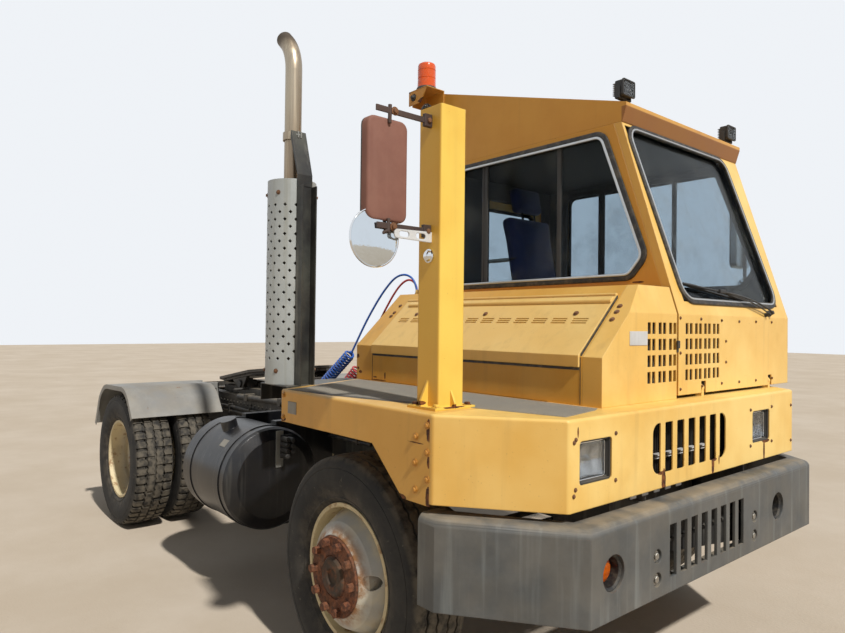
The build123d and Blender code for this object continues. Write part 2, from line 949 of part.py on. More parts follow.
def seat():
    floor = cab_floor_z + cab_wall
    rear = seat_front_x - seat_length
    top = floor + seat_base_height + cushion_height
    base_rear = rear + seat_base_inset
    base = block(base_rear, base_rear + seat_base_length, seat_y - seat_base_width / 2, seat_y + seat_base_width / 2,
                 floor, floor + seat_base_height)
    cushion = block(rear, seat_front_x, seat_y - seat_width / 2, seat_y + seat_width / 2, floor + seat_base_height, top)
    cushion = fillet(cushion.edges().filter_by(Axis.Y), cushion_r)
    foot = (rear - 20, top - seat_back_overlap)
    outline = leaning_pad(*foot, seat_back_height, seat_back_thickness)
    back = side_slab(outline, seat_y - seat_back_width / 2, seat_y + seat_back_width / 2)
    crown_x = (outline[2][0] + outline[3][0] - head_rest_thickness) / 2
    head = side_slab(leaning_pad(crown_x, outline[3][1], head_rest_height, head_rest_thickness),
                     seat_y - head_rest_width / 2, seat_y + head_rest_width / 2)
    return joined([base, cushion, back, head])


def dash():
    floor = cab_floor_z + cab_wall
    front = cab_front_x - cab_wall
    back = front - dash_depth
    shelf = dash_top_z - dash_glare_drop / 2
    console = side_slab([(front, floor), (front, dash_top_z - dash_glare_drop), (back, dash_top_z),
                         (dash_shelf_x + 20, shelf), (dash_shelf_x, shelf - dash_shelf_height),
                         (back - 20, dash_slope_z), (back, floor)], cab_right_y + cab_wall, cab_left_y - cab_wall)
    x, z = wheel_centre
    column = rod((column_foot_x, seat_y, column_foot_z), (x + 8, seat_y, z - 6), column_r)
    tilt = Plane(origin=(x, seat_y, z), z_dir=(wheel_tilt[0], 0, wheel_tilt[1]))
    ring = tilt * Torus(wheel_r, wheel_rim_r)
    spokes = [tilt * Rot(Z=angle) * Box(2 * wheel_r, *wheel_spoke) for angle in (0, 90)]
    boss = tilt * Cylinder(*wheel_boss)
    return joined([console, column, *spokes, boss, ring])


def roof_z(x):
    """Top of the sloping roof."""
    return roof_front_z + (roof_front_x - x) * (roof_break_z - roof_front_z) / (roof_front_x - roof_break_x)


def roof_lamps():
    """Square lamps, each in a bent strap on the roof's leading edge."""
    lamps = []
    x = work_lamp_x - work_lamp_depth / 2 - 6
    half = work_lamp_width / 2
    for y in work_lamp_y:
        low = roof_z(x + 24) + work_lamp_rise
        body = block(x, x + work_lamp_depth, y - half + work_lamp_ear, y + half - work_lamp_ear, low,
                     low + work_lamp_height)
        body = fillet(body.edges().filter_by(Axis.X), work_lamp_edge_r)
        strap = block(x + 20, x + 48, y - half, y + half, low - 12, low + work_lamp_height * 0.6)
        strap -= block(x + 20, x + 48, y - half + work_lamp_ear, y + half - work_lamp_ear, low - 12 + work_lamp_ear,
                       low + work_lamp_height * 0.6)
        stud = side_slab([(x + 24, roof_z(x + 24)), (x + 44, roof_z(x + 44)), (x + 44, low - 12), (x + 24, low - 12)],
                         y - 12, y + 12)
        lens_rim = block(x + work_lamp_depth - 10, x + work_lamp_depth, y - half, y + half, low - 4,
                         low + work_lamp_height + 2)
        lamps.append(joined([body, strap, stud, lens_rim]))
    return group(*lamps)


def beacon():
    """Ribbed lens on a base, on a folded bracket that is open to the front."""
    t = beacon_bracket_plate
    rear = roof_rear_x
    front = roof_break_x
    low = beacon_z - beacon_bracket_drop
    shelf = block(rear, front, -beacon_shelf, cab_right_y, beacon_z - t, beacon_z)
    flange = block(rear, front, cab_right_y - t, cab_right_y, low, beacon_z)
    back = front_slab([(-beacon_shelf, beacon_z), (cab_right_y, beacon_z), (cab_right_y, low),
                       (-beacon_shelf + 30, low)], rear, rear + t)
    skirt = side_slab([(rear, beacon_z), (front, beacon_z), (front - 60, low), (rear, low)], -beacon_shelf,
                      -beacon_shelf + t)
    hole = rod((beacon_x - 40, -beacon_shelf - 1, beacon_z - 45), (beacon_x - 40, -beacon_shelf + t + 1, beacon_z - 45),
               beacon_hole_r)
    bracket = joined([shelf, flange, back, skirt]) - hole
    top = beacon_base_height + beacon_height
    band = beacon_height / beacon_bands
    outline = [(0, 0), (beacon_base_r, 0), (beacon_base_r, beacon_base_height), (beacon_r, beacon_base_height)]
    for i in range(1, beacon_bands):
        z = beacon_base_height + i * band
        outline += [(beacon_r, z - beacon_groove), (beacon_r - beacon_groove, z), (beacon_r, z + beacon_groove)]
    outline += [(beacon_r, top - beacon_top_r), (beacon_r - beacon_top_r, top), (0, top)]
    lamp = revolve(Plane.XZ * make_face(Polyline(*outline, close=True)), axis=Axis.Z)
    return group(bracket, Pos(beacon_x, beacon_y, beacon_z) * lamp)


def round_mirror(x, y, z):
    """Convex mirror seen from the front: domed glass, rim and a spun bowl behind."""
    r = round_mirror_r
    rim = x - round_mirror_dome
    bowl = x - round_mirror_depth
    glass = TangentArc((x, 0), (rim, r), tangent=(0, 1))
    edge = Line((rim, r), (rim - round_mirror_rim, r))
    back = TangentArc((bowl, 0), (rim - round_mirror_rim, r), tangent=(0, 1))
    outline = make_face([glass, edge, back, Line((bowl, 0), (x, 0))])
    return Pos(0, y, z) * revolve(outline, axis=Axis.X)


def flat_mirror(x, y):
    """Flat mirror's head: rounded corners and a soft edge on its back, which faces forward."""
    head = block(x - flat_mirror_depth, x, y - flat_mirror_width / 2, y + flat_mirror_width / 2,
                 flat_mirror_bottom_z, flat_mirror_top_z)
    head = fillet(head.edges().filter_by(Axis.X), flat_mirror_corner_r)
    return fillet(head.edges().group_by(Axis.X)[-1], mirror_back_r)


def left_mirror():
    x = left_mirror_x - 40
    outer = -flat_mirror_y
    low = flat_mirror_bottom_z - left_mirror_drop
    high = flat_mirror_top_z + left_mirror_rise
    round_z = left_round_mirror_z
    arms = [rod((x, cab_left_y, z), (x, outer, z), mirror_arm_r) for z in (low + mirror_bar_end, high - mirror_bar_end)]
    bar = rod((x, outer, low), (x, outer, high), mirror_arm_r + 3)
    stem = rod((x, outer, flat_mirror_bottom_z - mirror_stem_drop), (x - 32, -round_mirror_y + 12, round_z + 70),
               mirror_arm_r)
    return joined([bar] + arms + [flat_mirror(x - 8, outer), stem, round_mirror(x - 14, -round_mirror_y, round_z)])


def rear_door():
    y0 = door_right_y - door_overlap
    y1 = door_left_y + door_overlap
    x1 = cab_rear_x - 6
    x0 = x1 - door_thickness
    z0 = door_bottom_z - door_overlap
    z1 = door_top_z + door_overlap
    panel = block(x0, x1, y0, y1, z0, z1)
    window = block(x0, x1, y0 + door_window_margin, y1 - door_window_margin, door_window_bottom_z,
                   z1 - door_window_margin)
    panel -= fillet(window.edges().filter_by(Axis.X), 45)
    handle = rod((x0 - 40, y0 + 35, 1620), (x0 - 40, y0 + 35, 1800), 9)
    for z in (1640, 1780):
        handle += rod((x0 - 40, y0 + 35, z), (x0, y0 + 35, z), 7)
    return panel + handle


def rear_door_glass():
    y0 = door_right_y - door_overlap + door_window_margin
    y1 = door_left_y + door_overlap - door_window_margin
    x = cab_rear_x - 6 - door_thickness / 2
    pane = block(x - glass_thickness / 2, x + glass_thickness / 2, y0, y1, door_window_bottom_z,
                 door_top_z + door_overlap - door_window_margin)
    return fillet(pane.edges().filter_by(Axis.X), 45)


# Mirrors on the right

def mirror_post():
    tube = block(post_x, post_x + post_side, post_y, post_y + post_side, deck_top_z + foot_plate, post_top_z)
    tube = fillet(tube.edges().filter_by(Axis.Z), 9)
    tube -= block(post_x + post_wall, post_x + post_side - post_wall, post_y + post_wall,
                  post_y + post_side - post_wall, deck_top_z + foot_plate, post_top_z - post_wall)
    foot = block(foot_x, foot_x + foot_length, foot_y, foot_y + foot_width, deck_top_z, deck_top_z + foot_plate)
    z0 = deck_top_z + foot_plate
    mid_y = post_y + post_side / 2
    gusset = front_slab([(post_y, z0), (foot_y, z0), (foot_y, z0 + 20), (post_y, z0 + 95)],
                        post_x + post_side / 2 - 5, post_x + post_side / 2 + 5)
    gusset2 = front_slab([(post_y + post_side, z0), (foot_y + foot_width, z0), (foot_y + foot_width, z0 + 20),
                          (post_y + post_side, z0 + 95)], post_x + post_side / 2 - 5, post_x + post_side / 2 + 5)
    gusset3 = side_slab([(post_x + post_side, z0), (foot_x + foot_length, z0), (foot_x + foot_length, z0 + 14),
                         (post_x + post_side, z0 + 60)], mid_y - 5, mid_y + 5)
    return joined([tube, foot, gusset, gusset2, gusset3])


def right_mirrors():
    x = mirror_x
    edge = flat_mirror_y
    low = flat_mirror_bottom_z - 41
    high = flat_mirror_top_z + 46
    arms = [rod((x, post_y, z), (x, edge, z), mirror_arm_r) for z in (high - mirror_bar_end, low + mirror_bar_end + 3)]
    bar = rod((x, edge, low), (x, edge, high), mirror_arm_r)
    stem = rod((x, edge, flat_mirror_bottom_z - mirror_stem_drop - 3), (x - 22, round_mirror_y, round_mirror_z),
               mirror_arm_r)
    return joined([bar] + arms + [flat_mirror(x - 6, edge), stem, round_mirror(x - 4, round_mirror_y, round_mirror_z)])


# Exhaust

def exhaust_stack():
    muffler = Pos(stack_x, stack_y, shield_bottom_z + 40) * Cylinder(
        muffler_r, shield_top_z - shield_bottom_z - 90, align=(Align.CENTER, Align.CENTER, Align.MIN))
    tilt = math.radians(pipe_bend_angle)
    start = Vector(stack_x, stack_y, shield_top_z - 60)
    straight = Line(start, Vector(stack_x, stack_y, pipe_straight_z))
    centre = Vector(stack_x - pipe_bend_r, stack_y, pipe_straight_z)
    middle = centre + Vector(pipe_bend_r * math.cos(tilt / 2), 0, pipe_bend_r * math.sin(tilt / 2))
    end = centre + Vector(pipe_bend_r * math.cos(tilt), 0, pipe_bend_r * math.sin(tilt))
    bend = ThreePointArc(straight @ 1, middle, end)
    outlet = Line(end, end + Vector(-math.sin(tilt), 0, math.cos(tilt)) * pipe_outlet_length)
    path = straight + bend + outlet
    pipe = sweep(Plane(origin=start, z_dir=(0, 0, 1)) * Circle(pipe_r), path=path)
    mouth = outlet @ 1
    back = Vector(math.sin(tilt), 0, -math.cos(tilt))
    bore = rod(tuple(mouth), tuple(mouth + back * pipe_outlet_length), pipe_r - pipe_wall)
    clamp = Pos(stack_x, stack_y, clamp_z) * Cylinder(pipe_r + 9, 44)
    return joined([muffler, pipe, clamp]) - bore


def exhaust_shield():
    height = shield_top_z - shield_bottom_z
    place = Pos(stack_x, stack_y, shield_bottom_z)
    up = (Align.CENTER, Align.CENTER, Align.MIN)
    shell = place * (Cylinder(shield_r, height, align=up) - Cylinder(shield_r - shield_wall, height, align=up))
    for z in (shield_bottom_z + 60, shield_top_z - 90):
        for angle in (0, 90, 180, 270):
            tab = Box(shield_r - shield_wall - muffler_r + 1, 30, 30, align=(Align.MIN, Align.CENTER, Align.CENTER))
            shell += Pos(stack_x, stack_y, z) * Rot(Z=angle) * Pos(muffler_r, 0, 0) * tab
    return shell


def stack_bracket():
    x0 = stack_x + shield_r
    y0 = stack_y - channel_width / 2
    column = block(x0, x0 + channel_depth, y0, y0 + channel_width, shield_bottom_z - 95, shield_top_z - 40)
    column -= block(x0 + 6, x0 + channel_depth, y0 + 6, y0 + channel_width - 6, shield_bottom_z - 95,
                    shield_top_z - 40)
    clamp_x = stack_x + pipe_r + 9
    strut = side_slab([(x0, shield_top_z - 40), (x0 + 8, shield_top_z - 40), (x0 + 8, shield_top_z + 25),
                       (clamp_x + 8, clamp_z + 20), (clamp_x, clamp_z + 20), (clamp_x, clamp_z - 20),
                       (x0, shield_top_z + 20)], y0, y0 + channel_width)
    beam = block(stack_x - 110, x0 + channel_depth, stack_y - 120, -rail_outer_y, shield_bottom_z - 95,
                 shield_bottom_z)
    beam -= block(stack_x - 104, x0 + channel_depth - 6, stack_y - 120, -rail_outer_y, shield_bottom_z - 95,
                  shield_bottom_z - 6)
    web = block(stack_x - 110, x0 + channel_depth, -rail_outer_y - 10, -rail_outer_y, rail_bottom_z + 40,
                shield_bottom_z - 6)
    return joined([column, strut, beam, web])


# Tanks and boxes

def fuel_tank():
    x0 = tank_front_x - tank_length
    bulge = tank_end_bulge
    outline = make_face(Polyline((x0 + bulge, 0), (x0, 0), (x0, tank_r - 70), (x0 + bulge, tank_r - 12),
                                 (x0 + bulge + 14, tank_r), (tank_front_x - bulge - 14, tank_r),
                                 (tank_front_x - bulge, tank_r - 12), (tank_front_x, tank_r - 70),
                                 (tank_front_x, 0), close=True))
    body = Pos(0, tank_y, tank_z) * revolve(outline, axis=Axis.X)
    cap = rod((tank_front_x - tank_length / 2, tank_y - 120, tank_z + tank_r - 40),
              (tank_front_x - tank_length / 2, tank_y - 140, tank_z + tank_r + 22), 48)
    return body + cap


def tank_brackets():
    brackets = []
    x0 = tank_front_x - tank_length
    for x in (tank_front_x - strap_inset, x0 + strap_inset):
        ring = rod((x - strap_width / 2, tank_y, tank_z), (x + strap_width / 2, tank_y, tank_z),
                   tank_r + strap_thickness)
        saddle = block(x - strap_width / 2, x + strap_width / 2, tank_y + 60, -rail_outer_y, tank_z - tank_r - 8,
                       rail_top_z - 10)
        core = rod((x - strap_width, tank_y, tank_z), (x + strap_width, tank_y, tank_z), tank_r)
        brackets.append(ring + saddle - core)
    return group(*brackets)


def air_tank():
    x1 = air_tank_front_x
    x0 = x1 - air_tank_length
    body = rod((x0, air_tank_y, air_tank_z), (x1, air_tank_y, air_tank_z), air_tank_r)
    body = fillet(body.edges().filter_by(GeomType.CIRCLE), air_tank_dome)
    under = deck_top_z - deck_plate
    half_x, half_y = (size / 2 for size in air_tank_hanger)
    for ahead in air_tank_hanger_x:
        x = x0 + ahead
        body += block(x - half_x, x + half_x, air_tank_y - half_y, air_tank_y + half_y, air_tank_z, under)
    return body


def battery_box():
    """Box on two brackets, with two step bars along its outer face."""
    x0 = battery_box_rear_x
    x1 = x0 + battery_box_length
    box = block(x0, x1, battery_box_inner_y, battery_box_outer_y, battery_box_bottom_z, battery_box_top_z)
    box = fillet(box.edges().filter_by(Axis.X), battery_box_edge_r)
    for x in (x0 + battery_bracket_inset, x1 - battery_bracket_inset - battery_bracket_width):
        box += block(x, x + battery_bracket_width, rail_outer_y, battery_box_inner_y + 5,
                     rail_bottom_z + step_height, battery_box_top_z - 20)
    for z in (battery_box_bottom_z + step_rise, battery_box_top_z - step_drop):
        box += block(x0 + step_inset, x1 - step_inset, battery_box_outer_y - 10, battery_box_outer_y + step_depth,
                     z, z + step_height)
    return box


def rear_platform():
    """Platform at the rear door on legs, with a handrail along its outer side."""
    x0 = battery_box_rear_x - platform_rear_gap
    x1 = cab_rear_x - platform_front_gap
    under = platform_z - platform_thickness
    deck = block(x0, x1, platform_inner_y, platform_outer_y, under, platform_z)
    for x in (x0 + platform_leg, x1 - 2 * platform_leg):
        deck += block(x, x + platform_leg, rail_outer_y - platform_leg, rail_outer_y, rail_top_z, under)
    strut_x = x1 - platform_leg - 50
    for y in (battery_box_inner_y - 20, battery_box_outer_y - 90):
        deck += block(strut_x, strut_x + 50, y, y + platform_strut, battery_box_top_z, under)
    y = platform_outer_y - 25
    rear_post, front_post = x0 + 30, x1 - 40
    top = platform_z + handrail_height
    rails = [rod((x, y, platform_z - 5), (x, y, top), handrail_r) for x in (rear_post, front_post)]
    rails.append(rod((rear_post - handrail_r, y, top), (front_post + handrail_r, y, top), handrail_r))
    middle = platform_z + midrail_height
    rails.append(rod((rear_post, y, middle), (front_post, y, middle), midrail_r))
    return joined([deck] + rails)


# Axles

def inset_line(points, distance):
    """An open outline of (x, z) points moved in below itself, with mitred bends."""
    normals = []
    for (x0, z0), (x1, z1) in zip(points, points[1:]):
        run = math.hypot(x1 - x0, z1 - z0)
        normals.append(((z1 - z0) / run, (x0 - x1) / run))
    moved = []
    for i, (x, z) in enumerate(points):
        before = normals[max(i - 1, 0)]
        after = normals[min(i, len(normals) - 1)]
        share = distance / (1 + before[0] * after[0] + before[1] * after[1])
        moved.append((x + (before[0] + after[0]) * share, z + (before[1] + after[1]) * share))
    return moved


def rolled_sheet(points, thickness, roll, y0, y1):
    """Sheet rolled round the bends of an outline of (x, z) points, from y0 to y1."""
    low = inset_line(points, thickness)
    upper = FilletPolyline(*[(x, y0, z) for x, z in points], radius=roll)
    lower = FilletPolyline(*[(x, y0, z) for x, z in low], radius=roll - thickness)
    ends = [Line(upper @ 0, lower @ 0), Line(upper @ 1, lower @ 1)]
    return extrude(make_face([*upper.edges(), *lower.edges(), *ends]), amount=y1 - y0, dir=(0, 1, 0))


def fender_top_z(x):
    (x0, z0), (x1, z1) = fender_bends[2:4]
    return z0 + (z1 - z0) * (x - x0) / (x1 - x0)


def rear_fenders():
    sheet = rolled_sheet(fender_bends, fender_plate, fender_roll, -fender_outer_y, -fender_inner_y)
    sheet += rolled_sheet(fender_bends, fender_lip, fender_roll, -fender_outer_y, -fender_outer_y + fender_plate)
    for ahead in fender_post_ahead:
        x = ahead - wheelbase
        top = fender_top_z(x) - fender_plate / 2
        sheet += block(x, x + fender_post, -fender_outer_y + fender_post_inset, -rail_outer_y,
                       top - fender_post_height, top)
        sheet += block(x, x + fender_post, -rail_outer_y - fender_post_plate, -rail_outer_y,
                       rail_top_z - fender_post_foot, top)
    return pair(sheet)


def rear_axle():
    z = tyre_r
    y = rear_inner_y + 30
    tube = rod((-wheelbase, -y, z), (-wheelbase, y, z), axle_tube_r)
    spindle = rod((-wheelbase, -rear_outer_y + 40, z), (-wheelbase, rear_outer_y - 40, z), rear_spindle_r)
    diff = Pos(-wheelbase, 0, z) * Sphere(diff_r)
    parts = [diff, tube, spindle, pinion_nose()]
    for side in (-1, 1):
        y0 = side * spring_y
        parts.append(block(-wheelbase - 90, -wheelbase + 90, y0 - 40, y0 + 40, z - 20, rail_bottom_z))
        parts.append(block(-wheelbase - 330, -wheelbase + 330, y0 - 40, y0 + 40, rail_bottom_z - 60,
                           rail_bottom_z))
        parts += brake_can(side)
    return joined(parts)


def brake_can(side):
    """Air brake can behind the axle, with its clamp ring, on a bracket from the axle tube."""
    y = side * brake_can_y
    z = tyre_r + brake_can_rise
    x1 = -wheelbase - brake_can_gap
    x0 = x1 - brake_can_length
    can = rod((x0, y, z), (x1, y, z), brake_can_r)
    can = fillet(can.edges().filter_by(GeomType.CIRCLE), brake_can_r / 4)
    middle = (x0 + x1) / 2
    ring = rod((middle - brake_clamp_width / 2, y, z), (middle + brake_clamp_width / 2, y, z), brake_clamp_r)
    bracket = block(x1 - 4, x1 + brake_clamp_width, y - brake_can_r * 0.7, y + brake_can_r * 0.7, tyre_r - 30,
                    z + brake_can_r * 0.7)
    foot = block(x1, -wheelbase, y - 18, y + 18, tyre_r - 30, tyre_r + 30)
    return [can, ring, bracket, foot]


def pinion_nose():
    return rod((-wheelbase, 0, tyre_r), (-wheelbase + 330, 0, tyre_r + 30), 95)


def gearbox():
    x0 = engine_front_x - engine_length
    return rod((x0, 0, gearbox_front_z), (x0 - gearbox_length, 0, gearbox_rear_z), gearbox_r)


def drive_shaft():
    x0 = engine_front_x - engine_length - gearbox_length
    shaft = rod((x0 + 20, 0, gearbox_rear_z - 20), (-wheelbase + 310, 0, tyre_r + 30), shaft_r)
    return shaft - gearbox() - pinion_nose()


def front_axle():
    z = tyre_r
    beam_z = z - beam_drop
    half = kingpin_y - knuckle_boss_r - 60
    beam = block(-beam_width / 2, beam_width / 2, -half, half, beam_z - beam_height / 2, beam_z + beam_height / 2)
    beam -= block(beam_width / 2 - 28, beam_width / 2, -half, half, beam_z - 28, beam_z + 28)
    beam -= block(-beam_width / 2, -beam_width / 2 + 28, -half, half, beam_z - 28, beam_z + 28)
    parts = [beam]
    for side in (-1, 1):
        parts.append(front_slab([(side * (half - 60), beam_z - 45), (side * (half - 60), beam_z + 45),
                                 (side * (kingpin_y - knuckle_boss_r - 2), z + 42),
                                 (side * (kingpin_y - knuckle_boss_r - 2), z - 42)], -40, 40))
        parts.append(rod((0, side * kingpin_y, z - 42), (0, side * kingpin_y, z + 42), knuckle_boss_r + 6))
        y0 = side * spring_y
        top = rail_bottom_z
        low = beam_z + beam_height / 2
        parts.append(block(-70, 70, y0 - 42, y0 + 42, low, low + spring_height + 30))
        leaf = [(-spring_length / 2, top - 30), (0, low + 20), (spring_length / 2, top - 30),
                (spring_length / 2, top - 10), (0, low + spring_height + 20), (-spring_length / 2, top - 10)]
        parts.append(side_slab(leaf, y0 - spring_width / 2, y0 + spring_width / 2))
        for x in (-spring_length / 2, spring_length / 2):
            parts.append(block(x - 30, x + 30, y0 - 40, y0 + 40, top - 60, top))
    holes = [rod((0, side * kingpin_y, z - 60), (0, side * kingpin_y, z + 60), kingpin_r + 0.5) for side in (-1, 1)]
    return joined(parts) - group(*holes)


def knuckle(side):
    z = tyre_r
    y = side * kingpin_y
    pin = rod((0, y, z - 92), (0, y, z + 92), kingpin_r)
    ears = []
    for z0, z1 in ((z - 92, z - 48), (z + 48, z + 92)):
        ears.append(rod((0, y, z0), (0, y, z1), knuckle_boss_r))
        ears.append(block(-32, 32, min(y, y + side * 85), max(y, y + side * 85), z0, z1))
    face = block(-60, 60, min(y + side * 56, y + side * 86), max(y + side * 56, y + side * 86), z - 92, z + 92)
    spindle = rod((0, y + side * 80, z), (0, side * (front_track_y + 120), z), spindle_r)
    arm_z = z + steering_arm_z
    arm = block(-steering_arm_back, 0, y - 20, y + 20, arm_z - 14, arm_z + 14)
    end = rod((-steering_arm_back, y, arm_z - 14), (-steering_arm_back, y, arm_z + 14), 28)
    return joined([pin, face, spindle, arm, end] + ears)


def tie_rod():
    z = tyre_r + steering_arm_z + 14 + 0.4
    x = -steering_arm_back
    bar = rod((x, -kingpin_y, z + 22), (x, kingpin_y, z + 22), tie_rod_r)
    for side in (-1, 1):
        bar += rod((x, side * kingpin_y, z), (x, side * kingpin_y, z + 44), 26)
    return bar


# Wheels

def tyre_section():
    half = tyre_width / 2
    tread = tyre_tread_width / 2
    seat = rim_flange_width / 2 - flange_lip
    right = [(seat, rim_seat_r), (seat, rim_flange_r + 1), (half - 14, rim_flange_r + 30), (half, rim_flange_r + 92),
             (half - 4, tyre_r - 55), (half - 10, tyre_r - 26), (tread, tyre_r - 7), (tread - 30, tyre_r)]
    return right + [(-y, r) for y, r in right[::-1]]


def tyre(y):
    return turned(tyre_section(), (0, y, tyre_r))


def rim(y, outward):
    """Barrel with both flanges and the dished disc on its outward side."""
    half = rim_flange_width / 2
    seat = half - flange_lip
    inner = rim_seat_r - rim_wall
    face = outward * wheel_inset
    back = face - outward * disc_thickness
    root = outward * 20
    barrel = [(-half, inner + 6), (-half, rim_flange_r), (-seat, rim_flange_r), (-seat, rim_seat_r),
              (seat, rim_seat_r), (seat, rim_flange_r), (half, rim_flange_r), (half, inner + 6), (0, inner - 6)]
    disc = [(root, inner + 2), (root + outward * 16, inner + 2), (face - outward * 34, 222), (face, mount_face_r),
            (face, hub_bore_r), (back, hub_bore_r), (back, mount_face_r - 8), (back - outward * 34, 214)]
    shape = turned(barrel, (0, y, tyre_r)) + turned(disc, (0, y, tyre_r))
    for i in range(hand_hole_count):
        angle = 2 * math.pi * (i + 0.04) / hand_hole_count
        x = hand_hole_circle_r * math.cos(angle)
        z = tyre_r + hand_hole_circle_r * math.sin(angle)
        mid = y + face - outward * 45
        shape -= rod((x, mid - 50, z), (x, mid + 50, z), hand_hole_r)
    return shape


def nuts(y_face, outward):
    """Hub nuts round the stud circle, standing out from the wheel's face."""
    shapes = []
    for i in range(stud_count):
        angle = 2 * math.pi * i / stud_count
        x = stud_circle_r * math.cos(angle)
        z = tyre_r + stud_circle_r * math.sin(angle)
        hexagon = extrude(RegularPolygon(nut_r, 6), amount=nut_height)
        shapes.append(Plane(origin=(x, y_face, z), z_dir=(0, outward, 0)) * hexagon)
    return shapes


def front_rim(side):
    y = side * front_track_y
    face = y + side * wheel_inset
    bore = spindle_r + running_gap
    flange = [(face, 166), (face + side * 12, 166), (face + side * 12, 92), (face + side * 6, 88), (face + side * 22, 74),
              (face + side * 22, 40), (face + side * 10, 30), (face + side * 10, 0),
              (face - side * 6, 0), (face - side * 6, bore), (face - side * 160, bore), (face - side * 160, front_hub_r),
              (face - side * 30, 100)]
    hub = turned([(p, r) for p, r in flange], (0, 0, tyre_r))
    drum = brake_drum(face - side * disc_thickness, side, front_drum_width)
    return joined([rim(y, side), hub, drum] + nuts(face + side * 12, side))


def brake_drum(seat_y, outward, width):
    """Drum inside the rim, bolted to the back of its disc and open towards the axle."""
    inner = brake_drum_r - brake_drum_wall
    web = seat_y - outward * brake_drum_wall
    mouth = seat_y - outward * width
    outline = [(seat_y, hub_bore_r), (seat_y, mount_face_r - 8), (web, brake_drum_r), (mouth, brake_drum_r),
               (mouth, inner), (web - outward * brake_drum_wall, inner), (web - outward * brake_drum_wall, hub_bore_r)]
    return turned(outline, (0, 0, tyre_r))


def rear_rims(side):
    outer = side * rear_outer_y
    inner = side * rear_inner_y
    middle = (outer + inner) / 2
    face = outer - side * wheel_inset
    bore = rear_spindle_r + running_gap
    hub = turned([(middle - side * 130, bore), (middle - side * 130, rear_hub_r), (face + side * 14, rear_hub_r),
                  (face + side * 150, rear_hub_r - 8), (face + side * 158, rear_hub_r - 26), (face + side * 158, 0),
                  (face + side * 136, 0), (face + side * 136, bore)], (0, 0, tyre_r))
    drum = brake_drum(inner + side * (wheel_inset - disc_thickness), side, rear_drum_width)
    shape = joined([rim(outer, -side), rim(inner, side), hub, drum] + nuts(face + side * disc_thickness, side))
    return Pos(-wheelbase, 0, 0) * shape


def rear_tyres(side):
    return Pos(-wheelbase, 0, 0) * group(tyre(side * rear_outer_y), tyre(side * rear_inner_y))


# Powertrain

def engine_block():
    x1 = engine_front_x
    x0 = x1 - engine_length
    half = engine_half_width
    base = block(x0, x1, -half, half, engine_bottom_z, engine_top_z)
    base = chamfer(base.edges().group_by(Axis.Z)[0].filter_by(Axis.X), sump_chamfer)
    mid = (x0 + x1) / 2
    head = block(mid - head_length / 2, mid + head_length / 2, head_y, head_y + head_width, engine_top_z - head_sink,
                 head_top_z)
    inner_y = rail_outer_y - rail_flange
    feet = block(mid - engine_foot_length / 2, mid + engine_foot_length / 2, -inner_y, inner_y,
                 rail_top_z - rail_web, rail_top_z)
    return joined([base, head, feet, gearbox()])


def radiator():
    half = rail_outer_y - rail_flange - 4
    core = block(radiator_x, radiator_x + radiator_depth, -half, half, radiator_bottom_z, radiator_top_z)
    foot = block(radiator_x, radiator_x + radiator_depth, -rail_outer_y + rail_web, rail_outer_y - rail_web,
                 rail_bottom_z + rail_web, radiator_bottom_z)
    return core + foot


# Boom and fifth wheel

def lift_boom():
    arms = []
    low = rail_top_z + boom_clear
    for side in (-1, 1):
        y0 = side * boom_arm_y - boom_arm_width / 2
        arm = side_slab([(boom_pivot_x + 45, boom_pivot_z - 34), (boom_pivot_x + 45, boom_pivot_z + 38),
                         (boom_pivot_x - 40, boom_pivot_z + 44), (boom_pivot_x - 190, low + boom_arm_height),
                         (boom_rear_x, low + boom_arm_height - 6), (boom_rear_x, low), (boom_pivot_x - 60, low)],
                        y0, y0 + boom_arm_width)
        ear = side_slab([(plate_pivot_x - 95, low), (plate_pivot_x + 95, low),
                         (plate_pivot_x + 42, plate_pivot_z + 42), (plate_pivot_x - 42, plate_pivot_z + 42)],
                        y0, y0 + boom_arm_width)
        arms += [arm, ear]
        arms.append(rod((plate_pivot_x, side * (boom_arm_y - 70), plate_pivot_z),
                        (plate_pivot_x, side * (boom_arm_y + 72), plate_pivot_z), boom_pin_r))
    tube = rod((boom_pivot_x - 330, -boom_arm_y, low + 42), (boom_pivot_x - 330, boom_arm_y, low + 42), 40)
    back = block(boom_rear_x + 30, boom_rear_x + 110, -boom_arm_y, boom_arm_y, low, low + 50)
    pin = rod((boom_pivot_x, -boom_arm_y - 70, boom_pivot_z), (boom_pivot_x, boom_arm_y + 70, boom_pivot_z), 24)
    eye_x, eye_z = cylinder_eye
    cross = rod((eye_x, -cylinder_y - 62, eye_z), (eye_x, cylinder_y + 62, eye_z), eye_pin_r)
    arms += [tube, back, pin, cross]
    for side in (-1, 1):
        for off in (-62, 46):
            y0 = side * cylinder_y + off
            arms.append(side_slab([(eye_x - 40, eye_z - 34), (eye_x + 40, eye_z - 34), (eye_x + 36, low + 82),
                                   (eye_x - 36, low + 82)], y0, y0 + 16))
        arms.append(rod((eye_x, side * (cylinder_y - 62), low + 69), (eye_x, side * boom_arm_y, low + 69), 20))
    return joined(arms)


